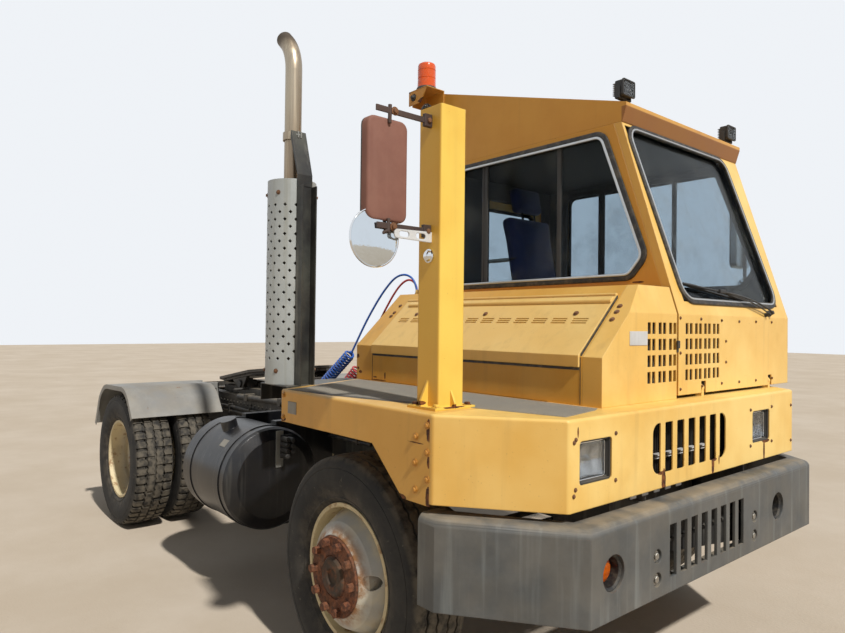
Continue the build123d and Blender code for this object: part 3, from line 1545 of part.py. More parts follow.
def boom_towers():
    towers = []
    for side in (-1, 1):
        y0 = side * (boom_arm_y + boom_arm_width / 2 + 20) - 14
        tower = side_slab([(boom_pivot_x - 90, rail_top_z), (boom_pivot_x + 90, rail_top_z),
                           (boom_pivot_x + 45, boom_pivot_z + 50), (boom_pivot_x - 45, boom_pivot_z + 50)],
                          y0, y0 + 28)
        tower -= rod((boom_pivot_x, y0 - 1, boom_pivot_z), (boom_pivot_x, y0 + 29, boom_pivot_z), 24.4)
        towers.append(tower)
    base_x, base_z = cylinder_base
    seat_z = rail_bottom_z + rail_web
    beam_y = rail_outer_y - rail_web
    lugs = [block(base_x + 10, base_x + 130, -beam_y, beam_y, seat_z + 50, seat_z + 110)]
    for side in (-1, 1):
        y0 = side * cylinder_y
        for off in (-72, 56):
            lugs.append(side_slab([(base_x - 34, base_z - 34), (base_x + 34, base_z - 34),
                                   (base_x + 34, seat_z + 60), (base_x - 34, seat_z + 60)],
                                  y0 + off, y0 + off + 16))
        lugs.append(rod((base_x, y0 - 72, base_z), (base_x, y0 + 72, base_z), base_pin_r))
    towers.append(joined(lugs))
    return towers


def fifth_wheel():
    """Top plate with a vee throat to the rear, side hangers and the pivot bores."""
    half_w = plate_width / 2
    front = plate_length * 0.42
    rear = -plate_length * 0.58
    z0 = plate_rise - plate_thickness
    outline = [(front, -190), (front, 190), (front - 150, half_w), (rear + ramp_length, half_w),
               (rear, half_w - 140), (rear, -half_w + 140), (rear + ramp_length, -half_w), (front - 150, -half_w)]
    plate = plan_slab(outline, z0, plate_rise)
    skirt = plan_slab([(x * 0.94, y * 0.94) for x, y in outline], z0 - 20, z0)
    skirt -= plan_slab([(x * 0.90, y * 0.90) for x, y in outline], z0 - 20, z0)
    plate += skirt
    mouth = throat_mouth / 2
    throat = plan_slab([(0, -kingpin_hole_r), (0, kingpin_hole_r), (rear + 180, kingpin_hole_r + 22), (rear, mouth),
                        (rear, -mouth), (rear + 180, -kingpin_hole_r - 22)], z0 - 60, plate_rise)
    plate -= throat
    plate -= rod((0, 0, z0 - 60), (0, 0, plate_rise), kingpin_hole_r)
    y0 = boom_arm_y + boom_arm_width / 2 + 6
    hangers = []
    for side in (-1, 1):
        low = side * y0 if side > 0 else -y0 - 26
        hanger = side_slab([(-150, z0), (150, z0), (45, -40), (-45, -40)], low, low + 26)
        hangers.append(hanger - rod((0, low - 1, 0), (0, low + 27, 0), boom_pin_r + 0.4))
    shape = joined([plate] + hangers)
    return Pos(plate_pivot_x, 0, plate_pivot_z) * Rot(Y=-plate_tilt) * shape


def cylinder_axis():
    run_x = cylinder_eye[0] - cylinder_base[0]
    run_z = cylinder_eye[1] - cylinder_base[1]
    length = math.hypot(run_x, run_z)
    return run_x / length, run_z / length, length


def along(distance, y):
    ux, uz, _ = cylinder_axis()
    return cylinder_base[0] + ux * distance, y, cylinder_base[1] + uz * distance


def lift_barrels():
    shapes = []
    for side in (-1, 1):
        y = side * cylinder_y
        barrel = rod(along(30, y), along(barrel_length, y), barrel_r)
        barrel += rod(along(0, y - 44), along(0, y + 44), eye_r)
        barrel -= rod(along(0, y - 60), along(0, y + 60), base_pin_r + running_gap)
        barrel -= rod(along(120, y), along(barrel_length + 1, y), rod_r + 0.4)
        shapes.append(barrel)
    return group(*shapes)


def lift_rods():
    _, _, length = cylinder_axis()
    shapes = []
    for side in (-1, 1):
        y = side * cylinder_y
        bar = rod(along(135, y), along(length - 20, y), rod_r)
        bar += rod(along(length, y - 40), along(length, y + 40), eye_r)
        bar -= rod(along(length, y - 60), along(length, y + 60), eye_bore_r)
        shapes.append(bar)
    return group(*shapes)


def pivot_lugs():
    """Cab pivot lugs on the deck, one in each notch of the cab's front edge."""
    lugs = []
    half = pivot_lug_width / 2
    for y in cab_pivot_y:
        lug = block(cab_pivot_x() - pivot_lug_r + 2, cab_pivot_x() + pivot_lug_r - 2, y - half, y + half, deck_top_z,
                    cab_pivot_z)
        lug += rod((cab_pivot_x(), y - half, cab_pivot_z), (cab_pivot_x(), y + half, cab_pivot_z), pivot_lug_r)
        lug -= rod((cab_pivot_x(), y - half, cab_pivot_z), (cab_pivot_x(), y + half, cab_pivot_z), pivot_pin_r + 0.4)
        lugs.append(lug)
    return lugs


def cab_cradle():
    """Cross beam on two posts that carries the rear of the hood and, on rubber pads, of the cab."""
    inner = rail_outer_y - rail_flange
    beam = block(cradle_x, cradle_x + cradle_length, hood_side_y + 20, cab_left_y - 60, deck_top_z - 62, deck_top_z)
    for side in (-1, 1):
        y0 = side * (rail_outer_y + inner) / 2 - 30
        beam += block(cradle_x, cradle_x + cradle_length, y0, y0 + 60, rail_top_z, deck_top_z - 62)
    shapes = [beam]
    for y in cradle_pad_y:
        shapes.append(rod((cradle_x + cradle_length / 2, y, deck_top_z),
                          (cradle_x + cradle_length / 2, y, cab_floor_z - running_gap), 30))
    return shapes


def coupling_holder():
    """Plate on the right rail where the two air couplings are parked."""
    return block(coupling_x - coupling_length - 12, coupling_x - coupling_length, -rail_outer_y, -262,
                 rail_top_z, 1215)


def air_couplings():
    """Bulkhead fittings on the hood ledge and the two parked couplings."""
    shapes = []
    for x, y, z in (blue_points[0], red_points[0]):
        shapes.append(rod((x, y, hood_ledge_z), (x, y, z), fitting_r))
    for x, y, z in (blue_coil_end, red_coil_end):
        body = block(x - coupling_length, x, y - 22, y + 22, z - 24, z + 24)
        disc = rod((x - coupling_length / 2, y, z - 40), (x - coupling_length / 2, y, z + 34), 38)
        shapes.append(body + disc)
    return group(*shapes)


blue_coil = rod(blue_points[-1], blue_coil_end, coil_r)
red_coil = rod(red_points[-1], red_coil_end, coil_r)

pieces = {
    "frame_rails": frame_rails,
    "crossmembers": lambda: group(crossmembers(), *boom_towers(), *cab_cradle(), coupling_holder()),
    "front_bumper": front_bumper,
    "front_fascia": lambda: joined([front_fascia()] + pivot_lugs()),
    "front_lamps": front_lamps,
    "tail_lamps": tail_lamps,
    "right_deck": right_deck,
    "left_deck": left_deck,
    "hood_front": hood_front,
    "hood_frame": hood_frame,
    "hood_lid": hood_lid,
    "mirror_post": mirror_post,
    "right_mirrors": right_mirrors,
    "exhaust_stack": exhaust_stack,
    "exhaust_shield": exhaust_shield,
    "stack_bracket": stack_bracket,
    "fuel_tank": fuel_tank,
    "tank_brackets": tank_brackets,
    "air_tank": air_tank,
    "battery_box": battery_box,
    "rear_platform": rear_platform,
    "rear_fenders": rear_fenders,
    "rear_axle": rear_axle,
    "drive_shaft": drive_shaft,
    "front_axle": front_axle,
    "engine_block": engine_block,
    "radiator": radiator,
    "right_knuckle": lambda: knuckle(-1),
    "left_knuckle": lambda: knuckle(1),
    "tie_rod": tie_rod,
    "front_right_tyre": lambda: tyre(-front_track_y),
    "front_right_rim": lambda: front_rim(-1),
    "front_left_tyre": lambda: tyre(front_track_y),
    "front_left_rim": lambda: front_rim(1),
    "rear_right_tyres": lambda: rear_tyres(-1),
    "rear_right_rims": lambda: rear_rims(-1),
    "rear_left_tyres": lambda: rear_tyres(1),
    "rear_left_rims": lambda: rear_rims(1),
    "lift_boom": lift_boom,
    "fifth_wheel": fifth_wheel,
    "lift_barrels": lift_barrels,
    "lift_rods": lift_rods,
    "cab_floor": cab_floor,
    "cab_front": cab_front,
    "cab_sides": cab_sides,
    "cab_rear": cab_rear,
    "cab_roof": cab_roof,
    "cab_glass": cab_glass,
    "rear_door": rear_door,
    "rear_door_glass": rear_door_glass,
    "seat": seat,
    "dash": dash,
    "roof_lamps": roof_lamps,
    "beacon": beacon,
    "left_mirror": left_mirror,
    "blue_air_line": lambda: hose(blue_points),
    "blue_air_coil": lambda: blue_coil,
    "red_air_line": lambda: hose(red_points),
    "red_air_coil": lambda: red_coil,
    "air_couplings": air_couplings,
}

for name, make in pieces.items():
    save(name, make())
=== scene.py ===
# %% [markdown]
# # A terminal tractor, dressed in Blender
# This yard truck pulls trailers round a port. Its solids come from a CAD model: sheet metal hood, offset cab,
# bumper, wheels, boom and fifth wheel, each on the body that carries it. This notebook leaves those solids where
# they are, gives every one a finish, and adds the pieces that only the eye needs, such as tyre tread, lamps,
# window rubbers, a perforated heat shield and the coiled air hoses.

# %% Load the CAD model as a fixed frame
import math

import bpy
from mathutils import Matrix, Vector
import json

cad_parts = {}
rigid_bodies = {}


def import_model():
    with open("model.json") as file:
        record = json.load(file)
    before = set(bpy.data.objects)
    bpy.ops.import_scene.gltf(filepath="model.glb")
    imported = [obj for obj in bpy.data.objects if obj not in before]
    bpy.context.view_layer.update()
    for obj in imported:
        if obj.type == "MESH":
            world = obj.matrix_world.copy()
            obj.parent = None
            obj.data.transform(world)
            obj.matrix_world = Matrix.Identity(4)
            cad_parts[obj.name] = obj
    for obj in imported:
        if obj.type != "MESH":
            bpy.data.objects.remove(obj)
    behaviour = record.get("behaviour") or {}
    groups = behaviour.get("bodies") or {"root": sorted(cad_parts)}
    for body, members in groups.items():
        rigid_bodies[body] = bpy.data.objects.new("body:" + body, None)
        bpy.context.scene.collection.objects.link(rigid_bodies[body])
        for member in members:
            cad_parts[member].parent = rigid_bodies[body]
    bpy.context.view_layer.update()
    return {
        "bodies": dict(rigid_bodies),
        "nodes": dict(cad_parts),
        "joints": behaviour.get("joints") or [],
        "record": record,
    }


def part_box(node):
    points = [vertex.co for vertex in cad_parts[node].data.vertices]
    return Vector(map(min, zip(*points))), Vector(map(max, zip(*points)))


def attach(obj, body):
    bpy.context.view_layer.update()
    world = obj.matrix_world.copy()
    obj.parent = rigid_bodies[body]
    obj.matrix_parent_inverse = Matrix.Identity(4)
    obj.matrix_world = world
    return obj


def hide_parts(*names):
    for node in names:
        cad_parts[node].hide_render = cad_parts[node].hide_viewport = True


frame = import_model()
cad_nodes = frame["nodes"]

# %% [markdown]
# Every measure on the real truck was taken in millimetres from the middle of the front axle: forward, to the left,
# and up from the ground. The CAD wheel says where that axle stands in the scene, so one small function turns a tape
# measure's point into the scene's metres, and nothing has to be fitted later.

# %% A point on the truck
tyre_low, tyre_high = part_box("front_right_tyre")
axle_x = (tyre_low.x + tyre_high.x) / 2
tyre_radius = (tyre_high.z - tyre_low.z) / 2


def at(x, y, z):
    """A point in mm from the front axle, as the scene's metres."""
    return Vector((axle_x + x / 1000, y / 1000, z / 1000))


print("front axle at x =", round(axle_x, 3), "tyre radius", round(tyre_radius, 3))

# %% [markdown]
# The camera stands where the photographer stood: off the right front corner, at eye height, with a 28 mm lens.
# It is turned about the vertical first, then tipped up and rolled a little.

# %% Camera
scene = bpy.context.scene
eye = at(2372.5, -2735.2, 1579.2)
heading, tip, roll = math.radians(49.57), math.radians(0.74), math.radians(0.68)
camera_data = bpy.data.cameras.new("camera")
camera_data.sensor_width = 36
camera_data.lens = 28.0
camera = bpy.data.objects.new("camera", camera_data)
scene.collection.objects.link(camera)
turn = Matrix.Rotation(heading, 4, "Z") @ Matrix.Rotation(math.pi / 2 + tip, 4, "X") @ Matrix.Rotation(roll, 4, "Z")
camera.matrix_world = Matrix.Translation(eye) @ turn
scene.camera = camera

# %% [markdown]
# The light is a plain soft day: one sun, high and ahead of the truck, over a pale even world. The sun and the
# sky add up to about one, so a colour renders as it is written. The world shows itself to the camera, and to glass
# and metal, as a pale backdrop, while it lights the truck with less.

# %% Light and backdrop
sky_light = 0.17
sky_seen = 0.93
sun_power = 3.3
sun_from = Vector((0.667, -0.094, 0.74))

sun_data = bpy.data.lights.new("sun", "SUN")
sun_data.energy = sun_power
sun_data.angle = math.radians(2)
sun_data.color = (1.0, 0.97, 0.92)
sun = bpy.data.objects.new("sun", sun_data)
sun.matrix_world = sun_from.to_track_quat("Z", "Y").to_matrix().to_4x4()
scene.collection.objects.link(sun)

world = bpy.data.worlds.new("world")
scene.world = world
world.use_nodes = True
sky = world.node_tree
background = sky.nodes["Background"]
rays = sky.nodes.new("ShaderNodeLightPath")
seen = rays.outputs["Is Camera Ray"]
for kind in ("Is Glossy Ray", "Is Transmission Ray"):
    either = sky.nodes.new("ShaderNodeMath")
    either.operation = "MAXIMUM"
    sky.links.new(seen, either.inputs[0])
    sky.links.new(rays.outputs[kind], either.inputs[1])
    seen = either.outputs[0]
strength = sky.nodes.new("ShaderNodeMapRange")
strength.inputs["To Min"].default_value = sky_light
strength.inputs["To Max"].default_value = sky_seen
sky.links.new(seen, strength.inputs["Value"])
sky.links.new(strength.outputs["Result"], background.inputs["Strength"])
background.inputs["Color"].default_value = (0.93, 0.96, 1.0, 1)

scene.view_settings.view_transform = "Standard"

# %% [markdown]
# ## How a finish is written
# A shader is a small sum: so much rust where a noise is high and an edge is near. Blender writes sums as Math nodes.
# The class below wraps a socket and overloads the operators, so a mask such as `1 - rust * edge` adds those nodes
# itself. Everything else goes through one method that takes the node's type, its settings and its socket values.


# %% Sockets that do arithmetic
class Sock:
    """An output socket of a shader tree. Arithmetic on it adds Math nodes."""

    def __init__(self, finish, socket):
        self.finish = finish
        self.socket = socket

    def __add__(self, other):
        return self.finish.math("ADD", self, other)

    def __radd__(self, other):
        return self.finish.math("ADD", other, self)

    def __sub__(self, other):
        return self.finish.math("SUBTRACT", self, other)

    def __rsub__(self, other):
        return self.finish.math("SUBTRACT", other, self)

    def __mul__(self, other):
        return self.finish.math("MULTIPLY", self, other)

    def __rmul__(self, other):
        return self.finish.math("MULTIPLY", other, self)

    def step(self, low, high):
        """0 below low, 1 above high, smooth between. With high under low it falls instead."""
        start, end = (0, 1) if low < high else (1, 0)
        low, high = min(low, high), max(low, high)
        return self.finish.node("MapRange", {"interpolation_type": "SMOOTHSTEP"}, Value=self, From_Min=low,
                                From_Max=high, To_Min=start, To_Max=end)

    def most(self, other):
        return self.finish.math("MAXIMUM", self, other)

    def wave(self):
        return self.finish.math("SINE", self)


class Finish:
    """A material built node by node on the truck's own coordinates. Colours are screen values, 0 to 255."""

    def __init__(self, name):
        self.material = bpy.data.materials.new(name)
        self.material.use_nodes = True
        self.tree = self.material.node_tree
        self.shader = self.tree.nodes["Principled BSDF"]
        self.place = self.node("TexCoord", out="Object")

    def node(self, kind, settings=None, out=None, **values):
        made = self.tree.nodes.new("ShaderNode" + kind)
        for name, value in (settings or {}).items():
            setattr(made, name, value)
        for name, value in values.items():
            socket = next(s for s in made.inputs if s.enabled and s.name.replace(" ", "_") == name)
            self.plug(socket, value)
        outputs = [s for s in made.outputs if s.enabled and (out is None or s.name == out)]
        return Sock(self, outputs[0])

    def plug(self, socket, value):
        if isinstance(value, Sock):
            self.tree.links.new(value.socket, socket)
        elif socket.type == "RGBA":
            socket.default_value = (*srgb(*value), 1)
        else:
            socket.default_value = value

    def math(self, operation, *values):
        made = self.tree.nodes.new("ShaderNodeMath")
        made.operation = operation
        for socket, value in zip(made.inputs, values):
            self.plug(socket, value)
        return Sock(self, made.outputs[0])

    def vector(self, operation, *values, out=None):
        made = self.tree.nodes.new("ShaderNodeVectorMath")
        made.operation = operation
        for socket, value in zip(made.inputs, values):
            self.plug(socket, value)
        return Sock(self, made.outputs[out] if out else made.outputs[0])

    def noise(self, scale, detail=3, stretch=(1, 1, 1), shift=0.0, roughness=0.55):
        """Cloudy noise from 0 to 1. A stretch below 1 draws it out along that axis."""
        spot = self.node("Mapping", Vector=self.place, Scale=stretch, Location=(shift, shift, shift))
        return self.node("TexNoise", Vector=spot, Scale=scale, Detail=detail, Roughness=roughness)

    def cells(self, scale):
        return self.node("TexVoronoi", out="Distance", Vector=self.place, Scale=scale)

    def mix(self, share, first, second):
        """first where share is 0, second where it is 1."""
        return self.node("Mix", {"data_type": "RGBA"}, Factor=share, A=first, B=second)

    def axis(self, name):
        return self.node("SeparateXYZ", out=name, Vector=self.place)

    def from_point(self, point, size):
        """Distance from a point, counted in the ellipsoid's own radii."""
        away = self.vector("SUBTRACT", self.place, Vector(point))
        return self.vector("LENGTH", self.vector("DIVIDE", away, Vector(size)), out="Value")

    def edges(self, radius):
        """High where a corner of the sheet is within radius."""
        self.rounded = self.node("Bevel", {"samples": 4}, Radius=radius)
        flat = self.node("NewGeometry", out="Normal")
        return 1 - self.vector("DOT_PRODUCT", self.rounded, flat, out="Value")

    def done(self, color, rough, metal=0.0, bump=None, depth=0.001, **fixed):
        shader = {s.name: s for s in self.shader.inputs}
        self.plug(shader["Base Color"], color)
        self.plug(shader["Roughness"], rough)
        self.plug(shader["Metallic"], metal)
        for name, value in fixed.items():
            self.plug(shader[name.replace("_", " ")], value)
        rounded = getattr(self, "rounded", None)
        if bump is not None:
            normal = {"Normal": rounded} if rounded else {}
            rounded = self.node("Bump", Height=bump, Distance=depth, Strength=1.0, **normal)
        if rounded:
            self.plug(shader["Normal"], rounded)
        return self.material


def srgb(red, green, blue):
    """A colour read off a screen, 0 to 255, as Blender's linear light."""
    return tuple((c / 255 / 12.92) if c <= 10 else ((c / 255 + 0.055) / 1.055) ** 2.4 for c in (red, green, blue))


# %% [markdown]
# ## Yellow paint
# The sheet metal was sprayed years ago. Sun has faded it in soft patches, rain has run dirt down it, grit has
# chipped its corners, and rust bleeds from a few known places. Fading and dirt are stretched noise. Chips need the
# corners, so a Bevel node finds them, and also rounds them for the light. Each known scar is an ellipsoid with a
# ragged border, given by its place and size. Faces that look to the truck's right get painted shade, a darker and
# more orange yellow, and a piece may bring a mask of painted shade of its own.

# %% Yellow paint, with scars where the truck has them
RUST = (62, 32, 16)
RUST_PALE = (128, 76, 36)


def rust_mask(finish, scars, ragged):
    """1 inside the scars. Each is (x, y, z, half length, half width, half height) in mm."""
    total = None
    for x, y, z, *size in scars:
        reach = finish.from_point(at(x, y, z), Vector(size) / 1000) + ragged
        scar = reach.step(1.06, 0.96)
        total = scar if total is None else total.most(scar)
    return total


def yellow(name, scars=(), faded=(250, 215, 134), deep=(238, 192, 100), dirt=0.35, inside=None, shade=None):
    paint = Finish(name)
    fade = (paint.noise(0.9, 4) + 0.5 * paint.noise(5, 3, shift=3)).step(0.55, 1.0)
    color = paint.mix(fade, deep, faded)
    runs = paint.noise(16, 4, (1, 1, 0.07), shift=7).step(0.52, 0.78)
    grime = paint.noise(2.2, 5, shift=11, roughness=0.7).step(0.5, 0.85)
    # Painted shade: faces that look to the truck's right are mixed towards a darker, more orange yellow.
    painted_shade_flank = paint.node("SeparateXYZ", out="Y", Vector=paint.node("TexCoord", out="Normal")).step(-0.6, -0.95)
    color = paint.mix(painted_shade_flank * 0.5, color, (214, 148, 44))
    # Painted shade: where the piece's own mask says, the paint is mixed towards brown.
    if shade:
        color = paint.mix(shade(paint), color, (134, 78, 30))
    color = paint.mix(runs * dirt * 0.5, color, (150, 112, 62))
    color = paint.mix(grime * dirt * 0.6, color, (170, 138, 92))
    specks = paint.noise(170, 2, shift=5).step(0.70, 0.76)
    color = paint.mix(specks * 0.5, color, (120, 80, 44))
    edge = paint.edges(0.006)
    chips = (edge.step(0.02, 0.2) * paint.noise(11, 4, shift=17, roughness=0.75).step(0.60, 0.66))
    if scars:
        ragged = 1.5 * (paint.noise(17, 6, shift=23, roughness=0.78) - 0.5)
        chips = chips.most(rust_mask(paint, scars, ragged))
    rust = paint.mix(paint.noise(60, 4, shift=2).step(0.35, 0.65), RUST, RUST_PALE)
    color = paint.mix(chips, color, rust)
    rough = 0.36 + 0.18 * grime + 0.4 * chips + 0.1 * fade
    if inside:
        lining = inside(paint)
        color = paint.mix(lining, color, paint.mix(grime, (66, 68, 70), (88, 86, 80)))
        rough = rough + 0.25 * lining
    skin = paint.noise(320, 2) * 0.25 + paint.noise(3, 2, shift=9) * 2 - 2 * chips
    return paint.done(color, rough, bump=skin, depth=0.0006, Specular_IOR_Level=0.45)


# %% [markdown]
# ## The other paints and metals
# Painted parts differ only in colour, gloss and how dirty they are, so one recipe makes them: a base colour, a
# second tone in patches, dust on what faces up, streaks of rain, and rust that shows above a threshold.

# %% Worn paint of any colour
DUST = (150, 138, 118)


def worn(name, base, tone, rough=0.5, dust=0.3, rust=0.0, streaks=0.3, metal=0.0, edge_wear=0.0, grain=200,
         streak_tone=(160, 158, 150), depth=0.0005):
    paint = Finish(name)
    color = paint.mix(paint.noise(3.5, 5, roughness=0.65).step(0.35, 0.7), base, tone)
    runs = paint.noise(22, 4, (1, 1, 0.05), shift=4).step(0.52, 0.75)
    color = paint.mix(runs * streaks, color, streak_tone)
    up = paint.node("SeparateXYZ", out="Z", Vector=paint.node("NewGeometry", out="Normal")).step(0.3, 0.95)
    dusty = (0.25 + up) * paint.noise(6, 4, shift=8).step(0.3, 0.7) * dust
    color = paint.mix(dusty, color, DUST)
    bare = paint.edges(0.005).step(0.02, 0.2) * paint.noise(14, 4, shift=6).step(0.5, 0.62) * edge_wear
    rusty = (paint.noise(9, 6, shift=13, roughness=0.75).step(0.72 - 0.25 * rust, 0.80 - 0.22 * rust)
             * min(1.0, 3 * rust)).most(bare)
    color = paint.mix(rusty, color, paint.mix(paint.noise(70, 4).step(0.4, 0.6), RUST, (140, 84, 48)))
    gloss = rough + 0.3 * dusty + 0.3 * rusty
    height = paint.noise(grain, 3) * 0.5 + paint.noise(12, 3, shift=2) + rusty
    shade = metal - metal * rusty if metal else 0.0
    return paint.done(color, gloss, shade, bump=height, depth=depth)


bumper_paint = worn("bumper_paint", (76, 78, 78), (92, 94, 94), 0.52, 0.7, 0.0, 0.45, edge_wear=0.35,
                    streak_tone=(132, 138, 138))
chassis_black = worn("chassis_black", (30, 30, 31), (46, 44, 42), 0.55, 0.5, 0.12, 0.15, edge_wear=0.5)
tank_black = worn("tank_black", (13, 15, 20), (22, 24, 30), 0.30, 0.10, 0.0, 0.10, grain=90)
iron_black = worn("iron_black", (34, 32, 30), (58, 50, 42), 0.62, 0.7, 0.3, 0.0, grain=60, depth=0.0012)
galvanised = worn("galvanised", (128, 130, 128), (150, 152, 148), 0.5, 0.35, 0.25, 0.3, metal=0.35)
fender_grey = worn("fender_grey", (136, 136, 134), (158, 156, 150), 0.55, 0.35, 0.35, 0.35, edge_wear=0.9)
tan_paint = worn("tan_paint", (140, 118, 92), (164, 142, 112), 0.6, 0.5, 0.2, 0.2)
shield_silver = worn("shield_silver", (166, 170, 168), (184, 188, 186), 0.42, 0.15, 0.05, 0.4, metal=0.25,
                     streak_tone=(140, 138, 122))
mirror_arm_black = worn("mirror_arm_black", (52, 38, 34), (74, 52, 44), 0.6, 0.3, 0.4, 0.0)
dark_plastic = worn("dark_plastic", (36, 36, 37), (48, 48, 48), 0.6, 0.25, 0.0, 0.0, grain=420)
grease_plate = worn("grease_plate", (28, 26, 24), (70, 64, 58), 0.32, 0.25, 0.2, 0.0, metal=0.5, grain=40,
                    depth=0.0015)

# %% [markdown]
# ## Finishes that follow a shape
# Some finishes belong to a place on their piece. A wheel is chalky white with a rusty hub, so its colours go by
# the distance from the axle. The cab's walls are yellow outside and lined with dark trim inside, so a mask asks on
# which side of the wall a point is. The exhaust is browned by heat along its height.

# %% Wheels and tyres, coloured by distance from the axle
rear_axle_x = (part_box("rear_right_tyres")[0].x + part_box("rear_right_tyres")[1].x) / 2
HUB_EDGE = 0.178
TYRE_BEAD = 0.30
TREAD_EDGE = tyre_radius - 0.03


def from_axle(finish, wheel_x):
    across = finish.vector("MULTIPLY", finish.vector("SUBTRACT", finish.place, Vector((wheel_x, 0, tyre_radius))),
                           Vector((1, 0, 1)))
    return finish.vector("LENGTH", across, out="Value")


def wheel_paint(name, wheel_x, hub_rust):
    """Chalky cream steel, rust creeping out from the hub and in from the rim's edge."""
    paint = Finish(name)
    reach = from_axle(paint, wheel_x)
    cloud = paint.noise(14, 5, roughness=0.7)
    chalk = paint.mix(paint.noise(9, 4, shift=3).step(0.35, 0.7), (212, 206, 188), (190, 192, 190))
    cream = reach.step(0.262, 0.276)
    color = paint.mix(cream, chalk, (222, 206, 166))
    stain = reach.step(HUB_EDGE + 0.05, HUB_EDGE - 0.005) * cloud.step(0.34, 0.6) * hub_rust
    rim_stain = (reach + 0.05 * cloud).step(0.262, 0.292) * paint.noise(20, 4, shift=5).step(0.55, 0.7)
    spots = paint.noise(34, 5, shift=9, roughness=0.75).step(0.66, 0.72)
    stain = stain.most(rim_stain * 0.8).most(spots * 0.7)
    color = paint.mix(stain, color, (150, 104, 62))
    hub = (reach + 0.012 * cloud).step(HUB_EDGE, HUB_EDGE - 0.006) * hub_rust
    rust = paint.mix(paint.noise(55, 5, shift=2, roughness=0.7).step(0.35, 0.65), (70, 42, 30), (128, 78, 50))
    color = paint.mix(hub, color, rust)
    well = reach.step(0.088, 0.078) * hub_rust
    color = paint.mix(well * paint.noise(30, 4).step(0.2, 0.6), color, (62, 50, 40))
    dirt = paint.noise(5, 5, shift=13).step(0.45, 0.8)
    color = paint.mix(dirt * 0.35, color, (128, 112, 88))
    paint.edges(0.004)
    return paint.done(color, 0.55 + 0.3 * hub + 0.1 * dirt, bump=cloud * 0.6 + paint.noise(160, 3) * (0.3 + hub),
                      depth=0.001)


def tyre_rubber(name, wheel_x):
    """Black rubber, dusty on the sidewall and pale where the road wears it."""
    rubber = Finish(name)
    reach = from_axle(rubber, wheel_x)
    cloud = rubber.noise(7, 5, roughness=0.65)
    color = rubber.mix(cloud.step(0.35, 0.7), (36, 35, 34), (58, 56, 53))
    rings = (reach * 900).wave().step(0.2, 1.0) * (reach.step(TYRE_BEAD + 0.02, TYRE_BEAD + 0.04)
                                                   * reach.step(TYRE_BEAD + 0.09, TYRE_BEAD + 0.07))
    side_dust = reach.step(TYRE_BEAD + 0.11, TYRE_BEAD + 0.01) * rubber.noise(16, 4, shift=5).step(0.35, 0.7)
    color = rubber.mix(side_dust * 0.45, color, (112, 104, 92))
    road = (reach + 0.01 * cloud).step(TREAD_EDGE, tyre_radius) * rubber.noise(24, 4, shift=7).step(0.3, 0.65)
    color = rubber.mix(road * 0.6, color, (128, 120, 106))
    scuffs = rubber.noise(40, 5, shift=12, roughness=0.7).step(0.62, 0.72)
    color = rubber.mix(scuffs * 0.35, color, (140, 132, 118))
    return rubber.done(color, 0.74 + 0.12 * cloud, bump=rings * 0.8 + rubber.noise(150, 3) * 0.5, depth=0.0008,
                       Specular_IOR_Level=0.35)


front_wheel_paint = wheel_paint("front_wheel_paint", axle_x, 1.0)
rear_wheel_paint = wheel_paint("rear_wheel_paint", rear_axle_x, 0.75)
front_rubber = tyre_rubber("front_rubber", axle_x)
rear_rubber = tyre_rubber("rear_rubber", rear_axle_x)


# %% Cab lining, heat-browned pipe and cloth
CAB_FRONT, CAB_REAR, CAB_LEFT, CREASE = 902, -780, 1197, 1640
LEAN_SLOPE = math.tan(math.radians(17.8))
CAB_FRONT_X, CAB_REAR_X = at(CAB_FRONT, 0, 0).x, at(CAB_REAR, 0, 0).x
CAB_WIDTH, CREASE_Z = CAB_LEFT / 1000, CREASE / 1000
ROOF_FALL = 0.288
ROOF_RIDGE = 3.020 + ROOF_FALL * at(-653, 0, 0).x


def behind_windshield(finish, margin):
    """1 further than margin behind the leaning front of the cab."""
    slope = finish.axis("X") + LEAN_SLOPE * finish.math("MAXIMUM", finish.axis("Z") - CREASE_Z, 0.0)
    return slope.step(CAB_FRONT_X - margin + 0.002, CAB_FRONT_X - margin - 0.002)


def inside_cab(finish):
    """The cab's lining, and the depth of its slots: points further in than the outer skin."""
    across = finish.axis("Y")
    width = across.step(0.006, 0.009) * across.step(CAB_WIDTH - 0.006, CAB_WIDTH - 0.009)
    along = finish.axis("X").step(CAB_REAR_X + 0.006, CAB_REAR_X + 0.009)
    return width * along * behind_windshield(finish, 0.006)


def inside_roof(finish):
    across = finish.axis("Y")
    width = across.step(0.008, 0.012) * across.step(CAB_WIDTH - 0.008, CAB_WIDTH - 0.012)
    ridge = finish.axis("Z") + ROOF_FALL * finish.axis("X")
    under = ridge.step(ROOF_RIDGE - 0.010, ROOF_RIDGE - 0.014)
    along = finish.axis("X").step(CAB_REAR_X - 0.034, CAB_REAR_X - 0.030)
    return width * under * along * behind_windshield(finish, 0.060)


def heat_browned(name, hot_z, cool_z):
    """Stainless pipe: straw and brown tints low down, soot at the mouth, the muffler inside the shield darkened as
    soot and painted shade, long bright streaks.
    """
    steel = Finish(name)
    height = steel.axis("Z")
    color = steel.mix(steel.noise(4, 4, (1, 1, 0.3)).step(0.3, 0.7), (150, 132, 108), (172, 162, 146))
    brown = (height + 0.25 * steel.noise(3, 3, shift=2)).step(cool_z, hot_z)
    color = steel.mix(brown * 0.7, color, (132, 98, 62))
    streaks = steel.noise(60, 3, (1, 1, 0.02), shift=5).step(0.45, 0.7)
    color = steel.mix(streaks * 0.5, color, (196, 184, 160))
    # Soot at the mouth, and below the shield's top the muffler darkened as soot and painted shade.
    soot_and_muffler_shade = (height + 0.06 * steel.noise(9, 4)).step(3.16, 3.25).most(height.step(2.37, 2.35))
    color = steel.mix(soot_and_muffler_shade * 0.8, color, (48, 38, 32))
    return steel.done(color, 0.34 + 0.3 * soot_and_muffler_shade + 0.1 * streaks, 0.75, bump=steel.noise(60, 3, (1, 1, 0.05)),
                      depth=0.0004)


